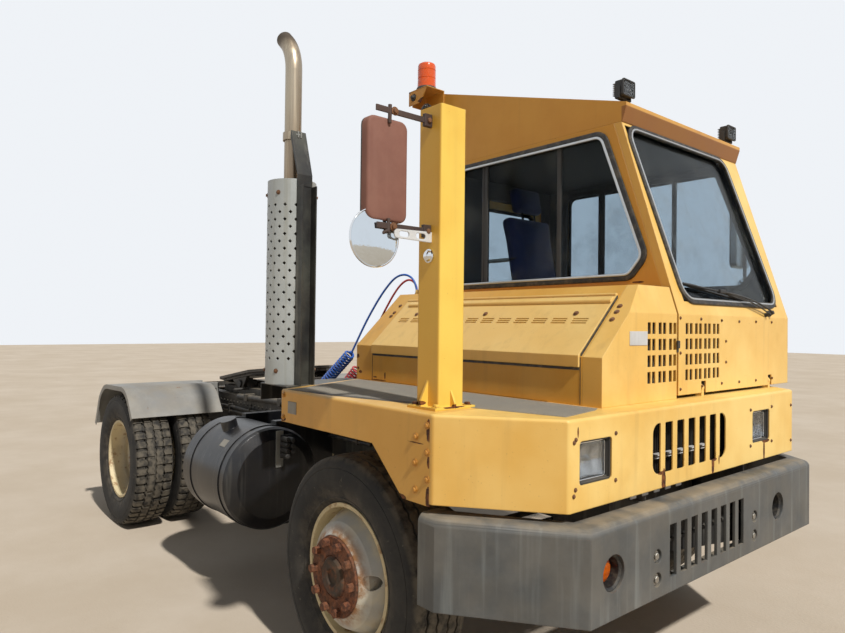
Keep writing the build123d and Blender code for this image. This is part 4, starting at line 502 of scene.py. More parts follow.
def plain_shine(name, color, rough, metal=0.0, speck=0.0, **fixed):
    """A lens, mirror, hose or bright metal: even colour, with handling marks in its gloss."""
    shine = Finish(name)
    marks = shine.noise(28, 5, shift=3, roughness=0.7).step(0.4, 0.75)
    tint = shine.mix(marks * speck, color, DUST)
    return shine.done(tint, rough + 0.12 * marks, metal, bump=shine.noise(90, 2), depth=0.00015, **fixed)


def window_glass(name):
    """Tinted safety glass with dried drops and a film of dust in the corners."""
    glass = Finish(name)
    drops = glass.cells(22).step(0.13, 0.09) * glass.noise(6, 3, shift=4).step(0.52, 0.6)
    film = glass.noise(3, 5, shift=8, roughness=0.7).step(0.45, 0.8)
    marks = (0.35 * film).most(drops * 0.4)
    glass.done((196, 208, 216), 0.02 + 0.1 * film, Transmission_Weight=1.0, IOR=1.12)
    dusty = glass.node("BsdfDiffuse", Color=(150, 152, 146))
    both = glass.tree.nodes.new("ShaderNodeMixShader")
    glass.plug(both.inputs[0], marks * 0.45)
    glass.tree.links.new(glass.shader.outputs[0], both.inputs[1])
    glass.tree.links.new(dusty.socket, both.inputs[2])
    glass.tree.links.new(both.outputs[0], glass.tree.nodes["Material Output"].inputs["Surface"])
    return glass.material


def woven(name, base, thread, pitch=900):
    """Seat cloth: two sets of threads, faded where the driver sits."""
    cloth = Finish(name)
    warp = (cloth.axis("Y") * pitch * 2).wave()
    weft = ((cloth.axis("X") + cloth.axis("Z")) * pitch * 2).wave()
    weave = (warp * weft).step(-0.4, 0.4)
    color = cloth.mix(weave, base, thread)
    worn_patch = cloth.noise(5, 4, shift=3).step(0.5, 0.8)
    color = cloth.mix(worn_patch * 0.35, color, (92, 96, 110))
    return cloth.done(color, 0.85, bump=weave + cloth.noise(30, 3), depth=0.0006, Sheen_Weight=0.3)


def grit(name, base, tone):
    """Anti-slip sheet: coarse grit in resin, dusty, scuffed by boots."""
    sheet = Finish(name)
    grains = sheet.noise(520, 2, roughness=0.8)
    scuff = sheet.noise(5, 5, shift=6, roughness=0.7).step(0.4, 0.75)
    color = sheet.mix(grains.step(0.35, 0.65), base, tone)
    color = sheet.mix(scuff * 0.5, color, (168, 158, 140))
    return sheet.done(color, 0.88, bump=grains * 2 + scuff * 0.4, depth=0.0012)


pipe_steel = heat_browned("pipe_steel", 2.35, 2.85)
black_rubber = plain_shine("black_rubber", (28, 28, 29), 0.55, speck=0.35)
aluminium = plain_shine("aluminium", (190, 192, 192), 0.28, 0.9, speck=0.2)
chrome = plain_shine("chrome", (222, 224, 226), 0.06, 1.0)
mirror_glass = plain_shine("mirror_glass", (214, 222, 228), 0.02, 1.0, speck=0.05)
clear_lens = plain_shine("clear_lens", (244, 246, 246), 0.03, Transmission_Weight=1.0, IOR=1.45)
amber_lens = plain_shine("amber_lens", (255, 96, 8), 0.12, Transmission_Weight=0.55, IOR=1.35, Coat_Weight=0.4)
red_lens = plain_shine("red_lens", (196, 16, 14), 0.14, Transmission_Weight=0.3, IOR=1.35, Coat_Weight=0.4)
bolt_steel = plain_shine("bolt_steel", (160, 158, 152), 0.36, 0.8, speck=0.5)
rusty_bolt = worn("rusty_bolt", (110, 74, 48), (136, 92, 60), 0.8, rust=0.6)
brass = plain_shine("brass", (186, 150, 84), 0.35, 0.9, speck=0.4)
cylinder_chrome = plain_shine("cylinder_chrome", (200, 202, 204), 0.12, 1.0, speck=0.1)
blue_nylon = plain_shine("blue_nylon", (18, 92, 190), 0.32, speck=0.2, Coat_Weight=0.3)
red_nylon = plain_shine("red_nylon", (190, 36, 44), 0.32, speck=0.2, Coat_Weight=0.3)
brown_back = worn("brown_back", (126, 82, 70), (142, 98, 84), 0.72, 0.2, 0.0, 0.25, grain=500,
                  streak_tone=(150, 110, 96))
glass = window_glass("glass")
seat_cloth = woven("seat_cloth", (24, 34, 78), (38, 54, 112))
deck_grit = grit("deck_grit", (126, 122, 114), (158, 154, 144))
# Dark grit for the painted shadow along the deck's outer edge.
deck_grit_dark = grit("deck_grit_dark", (72, 72, 72), (96, 96, 94))
plate_white = worn("plate_white", (216, 218, 220), (196, 198, 200), 0.5, 0.3, 0.0, 0.2)
plate_grey = worn("plate_grey", (150, 148, 140), (128, 120, 108), 0.5, 0.3, 0.4, 0.2)


def painted_visor_shade(paint):
    """Painted shade below the bright lip of the roof's front edge, where the visor's underside is in shadow."""
    return paint.axis("X").step(at(600, 0, 0).x, at(612, 0, 0).x) * paint.axis("Z").step(2.636, 2.631) * 0.8


# %% [markdown]
# ## Finishes for the CAD solids
# Each solid keeps its shape and gets its finish here. The yellow panels differ in where they are scarred: rust runs
# down from the slots and the far headlight on the band, bubbles at the foot of the hood's rear post, and lines the
# front edge of the skirt. The skirt, the hood frame, the cab's sides and the roof also get darker, more orange
# yellows as painted shade, and the roof's visor gets painted shade below its lip.

# %% Give every CAD solid its finish
# The band's front, the skirt's outside and the foot of the hood's slope.
BAND_FACE, SKIRT_FACE, HOOD_EDGE = 1024, -1220, -576
POST_COLORS = {"faded": (250, 214, 100), "deep": (240, 192, 78)}
band_scars = [(BAND_FACE, *scar) for scar in (
    (-334, 984, 40, 15, 44), (-348, 1013, 30, 26, 7), (72, 984, 40, 12, 42), (84, 1012, 30, 20, 6),
    (612, 1038, 30, 40, 8), (592, 990, 30, 10, 46), (-890, 1222, 20, 4, 18), (128, 1004, 20, 5, 20))]
skirt_scars = [(x, SKIRT_FACE, z, long, 20, high) for x, z, long, high in (
    (634, 1215, 12, 40), (634, 975, 12, 38), (636, 1100, 9, 22), (560, 1158, 40, 2.5), (480, 950, 36, 10),
    (-410, 1130, 26, 10))]
hood_scars = [(x, HOOD_EDGE, z, long, 20, high) for x, z, long, high in (
    (-725, 1400, 14, 12), (-722, 1330, 10, 9), (-700, 1310, 16, 10), (-560, 1290, 16, 4), (-470, 1300, 6, 20),
    (-520, 1275, 70, 3))]
roof_scars = [(-720, -60, 2990, 60, 70, 44), (-812, 20, 2900, 20, 60, 40)]
# Painted shade: the skirt's, the hood frame's, the cab sides' and the roof's yellows are darker than the rest.
finish_of = {
    "front_fascia": yellow("band_yellow", band_scars, faded=(252, 218, 136)),
    "right_deck": yellow("skirt_yellow", skirt_scars, faded=(236, 194, 112), deep=(222, 172, 84)),
    "left_deck": yellow("left_skirt_yellow", [(x, -y, z, *size) for x, y, z, *size in skirt_scars[:3]]),
    "hood_front": yellow("hood_front_yellow"),
    "hood_frame": yellow("hood_yellow", hood_scars, faded=(238, 196, 106), deep=(216, 162, 62)),
    "hood_lid": yellow("lid_yellow", faded=(244, 212, 138), deep=(238, 198, 116)),
    "mirror_post": yellow("post_yellow", [(510, -1165, 1290, 90, 30, 8), (600, -1060, 1280, 12, 60, 7)], dirt=0.15,
                          **POST_COLORS),
    "cab_front": yellow("cab_front_yellow", inside=inside_cab),
    "cab_sides": yellow("cab_side_yellow", [(700, 0, 1790, 30, 30, 5)], faded=(228, 172, 78), deep=(214, 152, 52),
                        inside=inside_cab),
    "cab_rear": yellow("cab_rear_yellow", [(CAB_REAR, 300, 1300, 30, 90, 8)], inside=inside_cab),
    "cab_roof": yellow("roof_yellow", roof_scars, faded=(224, 172, 88), deep=(204, 146, 62), inside=inside_roof,
                       shade=painted_visor_shade),
    "rear_door": yellow("door_yellow", [(-816, 470, 1330, 30, 50, 12)]),
    "cab_floor": worn("cab_floor_mat", (44, 44, 44), (60, 58, 54), 0.8, 0.5),
    "stack_bracket": worn("channel_steel", (34, 34, 35), (72, 74, 68), 0.45, 0.3, 0.1, 0.35, metal=0.2),
}
for finish, names in (
        (chassis_black, "frame_rails crossmembers radiator lift_boom lift_barrels battery_box tail_lamps"),
        (iron_black, "rear_axle front_axle drive_shaft engine_block right_knuckle left_knuckle tie_rod"),
        (front_wheel_paint, "front_right_rim front_left_rim"), (rear_wheel_paint, "rear_right_rims rear_left_rims"),
        (front_rubber, "front_right_tyre front_left_tyre"), (rear_rubber, "rear_right_tyres rear_left_tyres"),
        (blue_nylon, "blue_air_line blue_air_coil"), (red_nylon, "red_air_line red_air_coil"),
        (tank_black, "fuel_tank tank_brackets"), (glass, "cab_glass rear_door_glass"),
        (dark_plastic, "dash roof_lamps"), (bumper_paint, "front_bumper"), (fender_grey, "rear_fenders"),
        (tan_paint, "air_tank"), (galvanised, "rear_platform"), (pipe_steel, "exhaust_stack"),
        (grease_plate, "fifth_wheel"), (cylinder_chrome, "lift_rods"), (brown_back, "right_mirrors"),
        (aluminium, "left_mirror"), (amber_lens, "beacon"), (clear_lens, "front_lamps"), (seat_cloth, "seat"),
        (shield_silver, "exhaust_shield"), (brass, "air_couplings")):
    for name in names.split():
        finish_of[name] = finish
for name, solid in cad_nodes.items():
    solid.data.materials.clear()
    solid.data.materials.append(finish_of[name])
print("finishes given to", len(cad_nodes), "CAD solids")

# %% [markdown]
# ## Modelling by hand, in code
# Every new piece starts as a primitive at its place and is shaped by the operators that a person would use: extrude,
# bevel, spin, inset. Operators act on all that is selected, so each helper first deselects everything. The helpers
# below draw an outline point by point, push it into a slab, spin it into a turned part, or run a tube along a line.


# %% Helpers that draw, push and spin
AHEAD, BACKWARD, RIGHTWARD, UPWARD = (Vector(way) for way in ((1, 0, 0), (-1, 0, 0), (0, -1, 0), (0, 0, 1)))
CORNERS = ((-1, -1), (1, -1), (1, 1), (-1, 1))


def mode(name):
    bpy.ops.object.mode_set(mode=name)


def smooth_to(degrees):
    """Smooth shading, apart from edges sharper than this."""
    bpy.ops.object.shade_smooth_by_angle(angle=math.radians(degrees))


def alone(piece):
    bpy.ops.object.select_all(action="DESELECT")
    piece.select_set(True)
    bpy.context.view_layer.objects.active = piece
    return piece


def drawn(points, closed=True):
    """A wire, or a face if closed, drawn by extruding one vertex from each point to the next."""
    bpy.ops.object.select_all(action="DESELECT")
    bpy.ops.mesh.primitive_plane_add(size=0.001, location=points[0])
    piece = bpy.context.object
    bpy.ops.object.transform_apply(location=True)
    mode("EDIT")
    bpy.ops.mesh.select_mode(type="VERT")
    bpy.ops.mesh.merge(type="CENTER")
    for here, there in zip(points, points[1:]):
        bpy.ops.mesh.extrude_region_move(TRANSFORM_OT_translate={"value": Vector(there) - Vector(here)})
    bpy.ops.mesh.select_all(action="SELECT")
    if closed:
        bpy.ops.mesh.edge_face_add()
    return piece


def closed_up(piece, doubles=1e-5):
    """Merge what meets, turn the faces outwards and go back to object mode."""
    bpy.ops.mesh.select_all(action="SELECT")
    bpy.ops.mesh.remove_doubles(threshold=doubles)
    bpy.ops.mesh.normals_make_consistent(inside=False)
    mode("OBJECT")
    return piece


def slab(points, push, bevel=0.0, segments=2):
    """A flat outline pushed into a plate, with its edges broken."""
    piece = drawn(points)
    bpy.ops.mesh.extrude_region_move(TRANSFORM_OT_translate={"value": push})
    if bevel:
        bpy.ops.mesh.select_all(action="SELECT")
        bpy.ops.mesh.bevel(offset=bevel, segments=segments, affect="EDGES")
    return closed_up(piece)


def block(low, high, bevel=0.004, segments=2):
    """A box between two corners with rounded edges."""
    low, high = Vector(low), Vector(high)
    bpy.ops.object.select_all(action="DESELECT")
    bpy.ops.mesh.primitive_cube_add(size=1, location=(low + high) / 2, scale=high - low)
    piece = bpy.context.object
    bpy.ops.object.transform_apply(location=True, scale=True)
    mode("EDIT")
    bpy.ops.mesh.select_all(action="SELECT")
    bpy.ops.mesh.bevel(offset=bevel, segments=segments, affect="EDGES")
    return closed_up(piece)


def spun(profile, centre, along, steps=48):
    """Turn a profile of (distance along the axis, radius) pairs, in mm, about an axis through centre."""
    along = Vector(along).normalized()
    out = along.orthogonal().normalized()
    points = [centre + along * (step / 1000) + out * (radius / 1000) for step, radius in profile]
    piece = drawn(points, closed=False)
    bpy.ops.mesh.spin(steps=steps, angle=2 * math.pi, center=centre, axis=along)
    closed_up(piece, 2e-5)
    smooth_to(32)
    return piece


def line_through(points, order, resolution, kind="NURBS"):
    """A curve object without thickness. Its bends are soft if it is a NURBS line."""
    curve = bpy.data.curves.new("line", "CURVE")
    curve.dimensions = "3D"
    spline = curve.splines.new(kind)
    spline.points.add(len(points) - 1)
    for point, place in zip(spline.points, points):
        point.co = (*place, 1)
    if kind == "NURBS":
        spline.order_u = min(order, len(points))
        spline.use_endpoint_u = True
        spline.resolution_u = resolution
    line = bpy.data.objects.new("line", curve)
    scene.collection.objects.link(line)
    return line


def thickened(line, radius, sides):
    line.data.bevel_depth = radius
    line.data.bevel_resolution = sides
    line.data.use_fill_caps = True
    return line


def tube(points, radius, sides=3, kind="NURBS"):
    """A round bar or wire along points."""
    piece = alone(thickened(line_through(points, 4, 6, kind), radius, sides))
    bpy.ops.object.convert(target="MESH")
    mode("EDIT")
    closed_up(piece)
    smooth_to(40)
    return piece


def joined(pieces):
    alone(pieces[0])
    for piece in pieces[1:]:
        piece.select_set(True)
    if len(pieces) > 1:
        bpy.ops.object.join()
    return pieces[0]


def thick(piece, thickness, offset=-1.0, bevel=0.0):
    alone(piece)
    wall = piece.modifiers.new("wall", "SOLIDIFY")
    wall.thickness = thickness
    wall.offset = offset
    bpy.ops.object.modifier_apply(modifier=wall.name)
    if bevel:
        soften(piece, bevel)
    return piece


def soften(piece, width):
    """Round the sharp edges a little, so that they catch the light."""
    alone(piece)
    round_off = piece.modifiers.new("round", "BEVEL")
    round_off.width = width
    round_off.segments = 2
    round_off.angle_limit = math.radians(30)
    bpy.ops.object.modifier_apply(modifier=round_off.name)
    return piece


SLOT_OF = {"black_rubber": "black_rubber", "dark_plastic": "dark_plastic", "soot_black": "black_paint",
           "chassis_black": "black_paint", "mirror_arm_black": "black_paint", "headlamp_glass": "lamp_lens",
           "amber_glass": "amber_lens", "red_glass": "amber_lens", "beacon_amber": "amber_lens",
           "bracket_yellow": "yellow_paint", "bumper_paint": "grey_bumper_paint", "seat_cloth": "seat_fabric",
           "deck_grit": "grey_fender", "deck_grit_dark": "grey_fender", "galvanised": "galvanised",
           "front_rubber": "tyre_rubber", "rear_rubber": "tyre_rubber", "shield_silver": "silver_paint"}


def dress(name, piece, finish, body="chassis", slot=None, node=None):
    """Give a piece, or a list of pieces to join, its name, its finish and the body that it moves with.

    Its slot is worked out from its finish where none is given, but nothing uses it. Node is the CAD solid that it
    stands for. A finish may carry a number behind its name, where the CAD model has a material of that name too."""
    piece = alone(joined(piece) if isinstance(piece, list) else piece)
    piece.name = name
    bpy.ops.object.transform_apply(location=True, rotation=True, scale=True)
    piece.data.materials.clear()
    piece.data.materials.append(finish)
    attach(piece, body)
    slot = SLOT_OF.get(finish.name.split(".")[0], "stained_steel") if slot is None else slot
    if node:
        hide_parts(node)
    return piece


def bolt_row(places, facing, radius=0.011, height=0.007, washer=1.6):
    """Hexagon heads on washers at each place, looking along facing."""
    facing = Vector(facing).normalized()
    tilt = facing.to_track_quat("Z", "Y").to_euler()
    heads = []
    for place in places:
        bpy.ops.object.select_all(action="DESELECT")
        bpy.ops.mesh.primitive_cylinder_add(vertices=14, radius=radius * washer, depth=0.0024, rotation=tilt,
                                            location=Vector(place) + facing * 0.0012)
        heads.append(bpy.context.object)
        bpy.ops.mesh.primitive_cylinder_add(vertices=6, radius=radius, depth=height, rotation=tilt,
                                            location=Vector(place) + facing * (0.0024 + height / 2))
        head = bpy.context.object
        mode("EDIT")
        bpy.ops.mesh.select_all(action="SELECT")
        bpy.ops.mesh.bevel(offset=radius * 0.12, segments=1, affect="EDGES")
        mode("OBJECT")
        heads.append(head)
    return joined(heads)

# %% [markdown]
# ## Air hoses
# Two nylon air lines, blue and red, leave fittings on the hood's ledge, loop over to the rear, and hang as spring
# coils in a holder behind the cab until a trailer is hitched. Each is one smooth NURBS line: its points are listed
# one by one along the loop, and the coil is more points of the same line on a helix that opens over its first turn
# and closes over its last.

# %% Coiled air hoses
HOSE_DIAMETER = 0.013
COIL_RADIUS = 0.0315
POINTS_PER_TURN = 12
coupling_x = -1400
blue_route = [(-640, -215, 1782), (-646, -220, 1826), (-674, -232, 1868), (-722, -250, 1886), (-785, -268, 1868),
              (-850, -285, 1806), (-905, -300, 1738), (-955, -312, 1668), (-1003, -324, 1596), (-1046, -334, 1524),
              (-1086, -343, 1456), (-1120, -350, 1400)]
red_route = [(-690, -170, 1782), (-696, -172, 1818), (-722, -178, 1850), (-767, -188, 1858), (-822, -199, 1826),
             (-878, -210, 1762), (-930, -219, 1690), (-980, -228, 1614), (-1028, -237, 1534), (-1074, -246, 1452),
             (-1120, -254, 1372), (-1164, -261, 1300)]
blue_end = at(coupling_x, -400, 1160)
red_end = at(coupling_x, -296, 1070)


def coil_points(start, end, turns, radius):
    """Helix from start to end, narrow at both ends."""
    line = end - start
    side = line.orthogonal().normalized()
    other = line.cross(side).normalized()
    count = turns * POINTS_PER_TURN
    points = []
    for i in range(1, count):
        open_up = min(1.0, i / POINTS_PER_TURN, (count - i) / POINTS_PER_TURN)
        angle = 2 * math.pi * i / POINTS_PER_TURN
        arm = (side * math.cos(angle) + other * math.sin(angle)) * radius * open_up
        points.append(start + line * (i / count) + arm)
    return points + [end]


def air_hose(name, route, end, turns, finish, solids):
    points = [at(*p) for p in route]
    points += coil_points(points[-1], end, turns, COIL_RADIUS)
    hose = line_through(points, 3, 4)
    hose.name = name
    bare = bpy.data.meshes.new_from_object(hose)
    run = sum((bare.vertices[e.vertices[0]].co - bare.vertices[e.vertices[1]].co).length for e in bare.edges)
    print(name, "runs", round(run, 3), "m")
    bpy.data.meshes.remove(bare)
    thickened(hose, HOSE_DIAMETER / 2, 3).data.materials.append(finish)
    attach(hose, "chassis")
    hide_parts(*solids)
    return hose


def coupling_head(name, end, finish):
    """The hose's end fitting: a hexagon, a round head with its rubber face, and a handle lug."""
    body = spun([(0, 0), (0, 11), (18, 11), (20, 16), (40, 16), (45, 24), (62, 28), (70, 36), (92, 36), (95, 32),
                 (95, 0)], end, BACKWARD, 24)
    lug = block(end + Vector((-0.088, -0.012, -0.062)), end + Vector((-0.07, 0.012, -0.02)), 0.003)
    return dress(name, [body, lug], finish, slot="stained_steel")


blue_coupling = coupling_head("blue_coupling", blue_end, blue_nylon)
red_coupling = coupling_head("red_coupling", red_end, red_nylon)
blue_hose = air_hose("blue_hose", blue_route, blue_end, 16, blue_nylon,
                     ["blue_air_line", "blue_air_coil"])
red_hose = air_hose("red_hose", red_route, red_end, 14, red_nylon, ["red_air_line", "red_air_coil"])
fittings = []
for x, y, z in (blue_route[0], red_route[0]):
    fittings.append(spun([(-22, 0), (-22, 13), (-12, 13), (-12, 10), (-4, 10), (-2, 8.5), (6, 8.2), (8, 7)],
                         at(x, y, z), UPWARD, 6))
dress("ledge_fittings", fittings, brass, node="air_couplings")

# %% [markdown]
# ## Tyres
# A truck tyre reads by its section: a bead tucked behind the rim's flange, a bulging sidewall with thin rings, a
# square shoulder and a grooved tread. The half section is a short list of points, mirrored and spun round the axle.
# On the steered wheels the grooves weave, made by shifting their walls at every other step. On the driven wheels
# every third step of the shoulder is pushed in, which leaves lugs.

# %% Tyres with their tread
SIDEWALL = [(105, 286), (105, 299), (112, 306), (123, 316), (127, 320), (127, 323), (125, 326), (135, 352),
            (141, 386), (142.4, 402), (141, 428), (139, 447), (136.6, 449), (136.6, 452), (138, 455), (135.5, 470),
            (131, 483)]
FRONT_TREAD = [(121, 496), (116, 499), (84, 502.6), (83, 490), (75, 490), (74, 503.4), (34, 505), (33, 491),
               (25, 491), (24, 505)]
REAR_TREAD = [(124, 495), (118, 498.5), (66, 502.6), (64, 488), (54, 488), (52, 503.4), (9, 505), (7, 489)]
FRONT_STEPS = 120
REAR_STEPS = 144
TREAD_FLOOR, LUG_FLOOR, LUG_TOP, SHOULDER = 0.4875, 0.4845, 0.5, 0.056


def pick_faces(piece, wanted):
    """Go to edit mode with only the faces selected whose centre passes the test."""
    alone(piece)
    mode("EDIT")
    bpy.ops.mesh.select_mode(type="FACE")
    bpy.ops.mesh.select_all(action="DESELECT")
    mode("OBJECT")
    for face in piece.data.polygons:
        face.select = wanted(face.center)
    mode("EDIT")


def step_of(place, hub, steps):
    angle = math.atan2(place.z - hub.z, place.x - hub.x) % (2 * math.pi)
    return int(angle / (2 * math.pi) * steps + 1e-3)


def tyre(hub, tread, steps, lugs):
    half = [(y / 1000, r / 1000) for y, r in SIDEWALL + tread]
    points = [hub + Vector((r, y, 0)) for y, r in half]
    points += [hub + Vector((r, -y, 0)) for y, r in half[::-1]]
    piece = drawn(points, closed=False)
    bpy.ops.mesh.spin(steps=steps, angle=2 * math.pi, center=hub, axis=(0, 1, 0))
    closed_up(piece, 2e-5)
    for vertex in piece.data.vertices:
        out = vertex.co - hub
        radius = math.hypot(out.x, out.z)
        if radius > TREAD_FLOOR and abs(out.y) < 0.1:
            vertex.co.y += 0.0035 * (-1) ** step_of(vertex.co, hub, steps)
    if lugs:
        pick_faces(piece, lambda c: (math.hypot(c.x - hub.x, c.z - hub.z) > LUG_FLOOR and abs(c.y - hub.y) > SHOULDER
                                     and step_of(c, hub, steps) % 3 == 0))
        bpy.ops.mesh.extrude_region_shrink_fatten(TRANSFORM_OT_shrink_fatten={"value": -0.012})
        mode("OBJECT")
        pick_faces(piece, lambda c: (math.hypot(c.x - hub.x, c.z - hub.z) > LUG_TOP and abs(c.y - hub.y) < SHOULDER
                                     and step_of(c, hub, steps) % 6 == (0 if c.y > hub.y else 3)))
        bpy.ops.mesh.extrude_region_shrink_fatten(TRANSFORM_OT_shrink_fatten={"value": -0.008})
        mode("OBJECT")
    alone(piece)
    smooth_to(26)
    return piece


FRONT_TRACK = 1.018
REAR_TRACKS = (1.072, 0.742)
for side, word in ((-1, "right"), (1, "left")):
    front = tyre(Vector((axle_x, side * FRONT_TRACK, tyre_radius)), FRONT_TREAD, FRONT_STEPS, False)
    dress("front_" + word + "_treaded_tyre", front, front_rubber, "front_" + word + "_wheel",
          node="front_" + word + "_tyre")
    twins = [tyre(Vector((rear_axle_x, side * y, tyre_radius)), REAR_TREAD, REAR_STEPS, True) for y in REAR_TRACKS]
    dress("rear_" + word + "_lugged_tyres", twins, rear_rubber, "rear_" + word + "_wheels",
          node="rear_" + word + "_tyres")

# %% [markdown]
# ## Heat shield
# The muffler stands inside a perforated tube, so that nobody burns a hand. The pattern is punched flat: a grid of
# corners, every second one bevelled into a ring of twelve points and emptied. The sheet is then rolled into a tube,
# closed along its seam and given its thickness.

# %% Perforated heat shield
SHIELD_RADIUS = 0.135
HOLES_ROUND = 14
HOLE_ROWS = 22
ROW_PITCH = 0.040
HOLE_RADIUS = 0.0098
shield_low, shield_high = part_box("exhaust_shield")
stack_centre = (shield_low + shield_high) / 2


def heat_shield():
    columns = 4 * HOLES_ROUND
    column_pitch = 2 * math.pi * SHIELD_RADIUS / columns
    bpy.ops.object.select_all(action="DESELECT")
    bpy.ops.mesh.primitive_grid_add(x_subdivisions=columns, y_subdivisions=HOLE_ROWS + 1, size=1)
    sheet = bpy.context.object
    rows = sorted({round(v.co.y, 5) for v in sheet.data.vertices})
    lines = sorted({round(v.co.x, 5) for v in sheet.data.vertices})
    holes = []
    for vertex in sheet.data.vertices:
        i = min(range(len(lines)), key=lambda k: abs(lines[k] - vertex.co.x))
        j = min(range(len(rows)), key=lambda k: abs(rows[k] - vertex.co.y))
        vertex.co = (i * column_pitch, (j - len(rows) / 2 + 0.5) * ROW_PITCH, 0)
        vertex.select = i % 2 == 1 and ((i - 1) // 2 + j) % 2 == 0 and 0 < j < len(rows) - 1
        if vertex.select:
            holes.append(vertex.co.copy())
        if j in (0, len(rows) - 1):
            vertex.co.y = math.copysign((shield_high.z - shield_low.z) / 2, vertex.co.y)
    for edge in sheet.data.edges:
        edge.select = False
    for face in sheet.data.polygons:
        face.select = False
    mode("EDIT")
    bpy.ops.mesh.select_mode(type="VERT")
    bpy.ops.mesh.bevel(offset=HOLE_RADIUS, affect="VERTICES", segments=3)
    mode("OBJECT")
    near = {}
    for centre in holes:
        near[(round(centre.x / column_pitch), round(centre.y / ROW_PITCH + 0.25))] = centre

    def hole_at(place):
        return min((c for c in (near.get((round(place.x / column_pitch) + k, round(place.y / ROW_PITCH + 0.25)))
                                for k in (-1, 0, 1)) if c is not None), key=lambda c: (c - place).length,
                   default=None)

    for vertex in sheet.data.vertices:
        centre = hole_at(vertex.co)
        if centre is not None and (vertex.co - centre).length < HOLE_RADIUS * 1.05:
            vertex.co = centre + (vertex.co - centre).normalized() * HOLE_RADIUS
    pick_faces(sheet, lambda c: hole_at(c) is not None and (hole_at(c) - c).length < HOLE_RADIUS * 0.3)
    bpy.ops.mesh.delete(type="FACE")
    mode("OBJECT")
    for vertex in sheet.data.vertices:
        angle = vertex.co.x / SHIELD_RADIUS
        vertex.co = stack_centre + Vector((math.cos(angle) * SHIELD_RADIUS, math.sin(angle) * SHIELD_RADIUS,
                                           vertex.co.y))
    mode("EDIT")
    closed_up(sheet, 2e-4)
    bpy.ops.object.shade_flat()
    return thick(sheet, 0.003)


shield = heat_shield()
screws = []
for z in (shield_low.z + 0.075, shield_high.z - 0.075):
    for degrees in (-62, 62, 118, 242):
        out = Vector((math.cos(math.radians(degrees)), math.sin(math.radians(degrees)), 0))
        screws.append(bolt_row([Vector((stack_centre.x, stack_centre.y, z)) + out * SHIELD_RADIUS], out, 0.008))
dress("shield_screws", screws, rusty_bolt, slot="silver_paint")
dress("perforated_shield", shield, shield_silver, node="exhaust_shield")

# %% [markdown]
# ## Windows
# Each pane sits in a black rubber section that grips the sheet metal, with a bright strip pressed into its groove.
# Such a ring is one flat outline: arcs round its corners, the face is inset by the ring's width, the middle is
# thrown away, and a Solidify modifier gives it depth. The same ring later frames mirrors and lamps.


# %% Flat rings with round corners
def grown(points, distance, facing):
    """A flat closed outline moved outwards. It runs anticlockwise as seen from where facing points."""
    outer = []
    for before, here, after in zip(points[-1:] + points[:-1], points, points[1:] + points[:1]):
        first = (here - before).cross(facing).normalized()
        second = (after - here).cross(facing).normalized()
        outer.append(here + (first + second) * distance / (1 + first.dot(second)))
    return outer


def rounded(points, radius, steps=5):
    """The same outline with an arc at each corner."""
    smooth = []
    for before, here, after in zip(points[-1:] + points[:-1], points, points[1:] + points[:1]):
        back = (before - here).normalized()
        ahead = (after - here).normalized()
        half = back.angle(ahead) / 2
        centre = here + (back + ahead).normalized() * radius / math.sin(half)
        start = here + back * radius / math.tan(half) - centre
        end = here + ahead * radius / math.tan(half) - centre
        smooth += [centre + start.slerp(end, i / steps).normalized() * radius for i in range(steps + 1)]
    return smooth


def ring(outline, width, depth, bevel=0.002):
    """A flat frame that reaches half its depth to each side of the outline's plane."""
    piece = drawn(outline)
    bpy.ops.mesh.select_mode(type="FACE")
    bpy.ops.mesh.select_all(action="SELECT")
    bpy.ops.mesh.inset(thickness=width)
    bpy.ops.mesh.delete(type="FACE")
    closed_up(piece)
    thick(piece, depth, offset=0.0, bevel=bevel)
    smooth_to(35)
    return piece


# %% Side windows, windshield and door window
SIDE_WINDOW = [(-600, 1810), (659, 1815), (737, 1909), (506, 2520), (-600, 2520)]
SCREEN_FACING = Vector((1, 0, LEAN_SLOPE)).normalized()
SCREEN_CORNERS = [(81, 1700), (1099, 1700), (1025, 2545), (18, 2545)]
DOOR_WINDOW = [(1045, 1790), (515, 1790), (515, 2395), (1045, 2395)]


def on_screen(y, z, lift=0.0):
    """A point on the leaning front of the cab, lifted off it by some millimetres."""
    return at(CAB_FRONT - LEAN_SLOPE * (z - CREASE), y, z) + SCREEN_FACING * lift / 1000


def window(name, corners, facing, body, radius, lap=0.018, strip=0.013):
    """Rubber outside with its bright strip, and a dark trim ring inside, for which the sliding door has no room."""
    rings = [("_rubber", 0.003, lap, lap + 0.020, 0.014, 0.004, black_rubber),
             ("_bright_strip", 0.007, -0.006, strip, 0.012, 0.003, aluminium),
             ("_inner_trim", -0.040, lap, lap + 0.014, 0.012, 0.003, dark_plastic)]
    for end, shift, grow, width, depth, bevel, finish in rings[:3 if body == "cab" else 2]:
        outline = rounded(grown([corner + facing * shift for corner in corners], grow, facing), radius + grow)
        dress(name + end, ring(outline, width, depth, bevel), finish, body)


window("right_side_window", [at(x, 0, z) for x, z in SIDE_WINDOW], RIGHTWARD, "cab", 0.062)
window("left_side_window", [at(x, CAB_LEFT, z) for x, z in reversed(SIDE_WINDOW)], -RIGHTWARD, "cab", 0.062)
window("windshield", [on_screen(y, z) for y, z in SCREEN_CORNERS], SCREEN_FACING, "cab", 0.085, 0.012, 0.009)
window("door_window", [at(-816, y, z) for y, z in DOOR_WINDOW], BACKWARD, "sliding_door", 0.05)

bars = []
for wall_y in (20, 1177):
    for x, width in ((-318, 16), (-294, 26), (232, 26)):
        bars.append(block(at(x - width / 2, wall_y - 10, 1806), at(x + width / 2, wall_y + 10, 2524), 0.003))
dress("window_sash_bars", bars, dark_plastic, "cab")

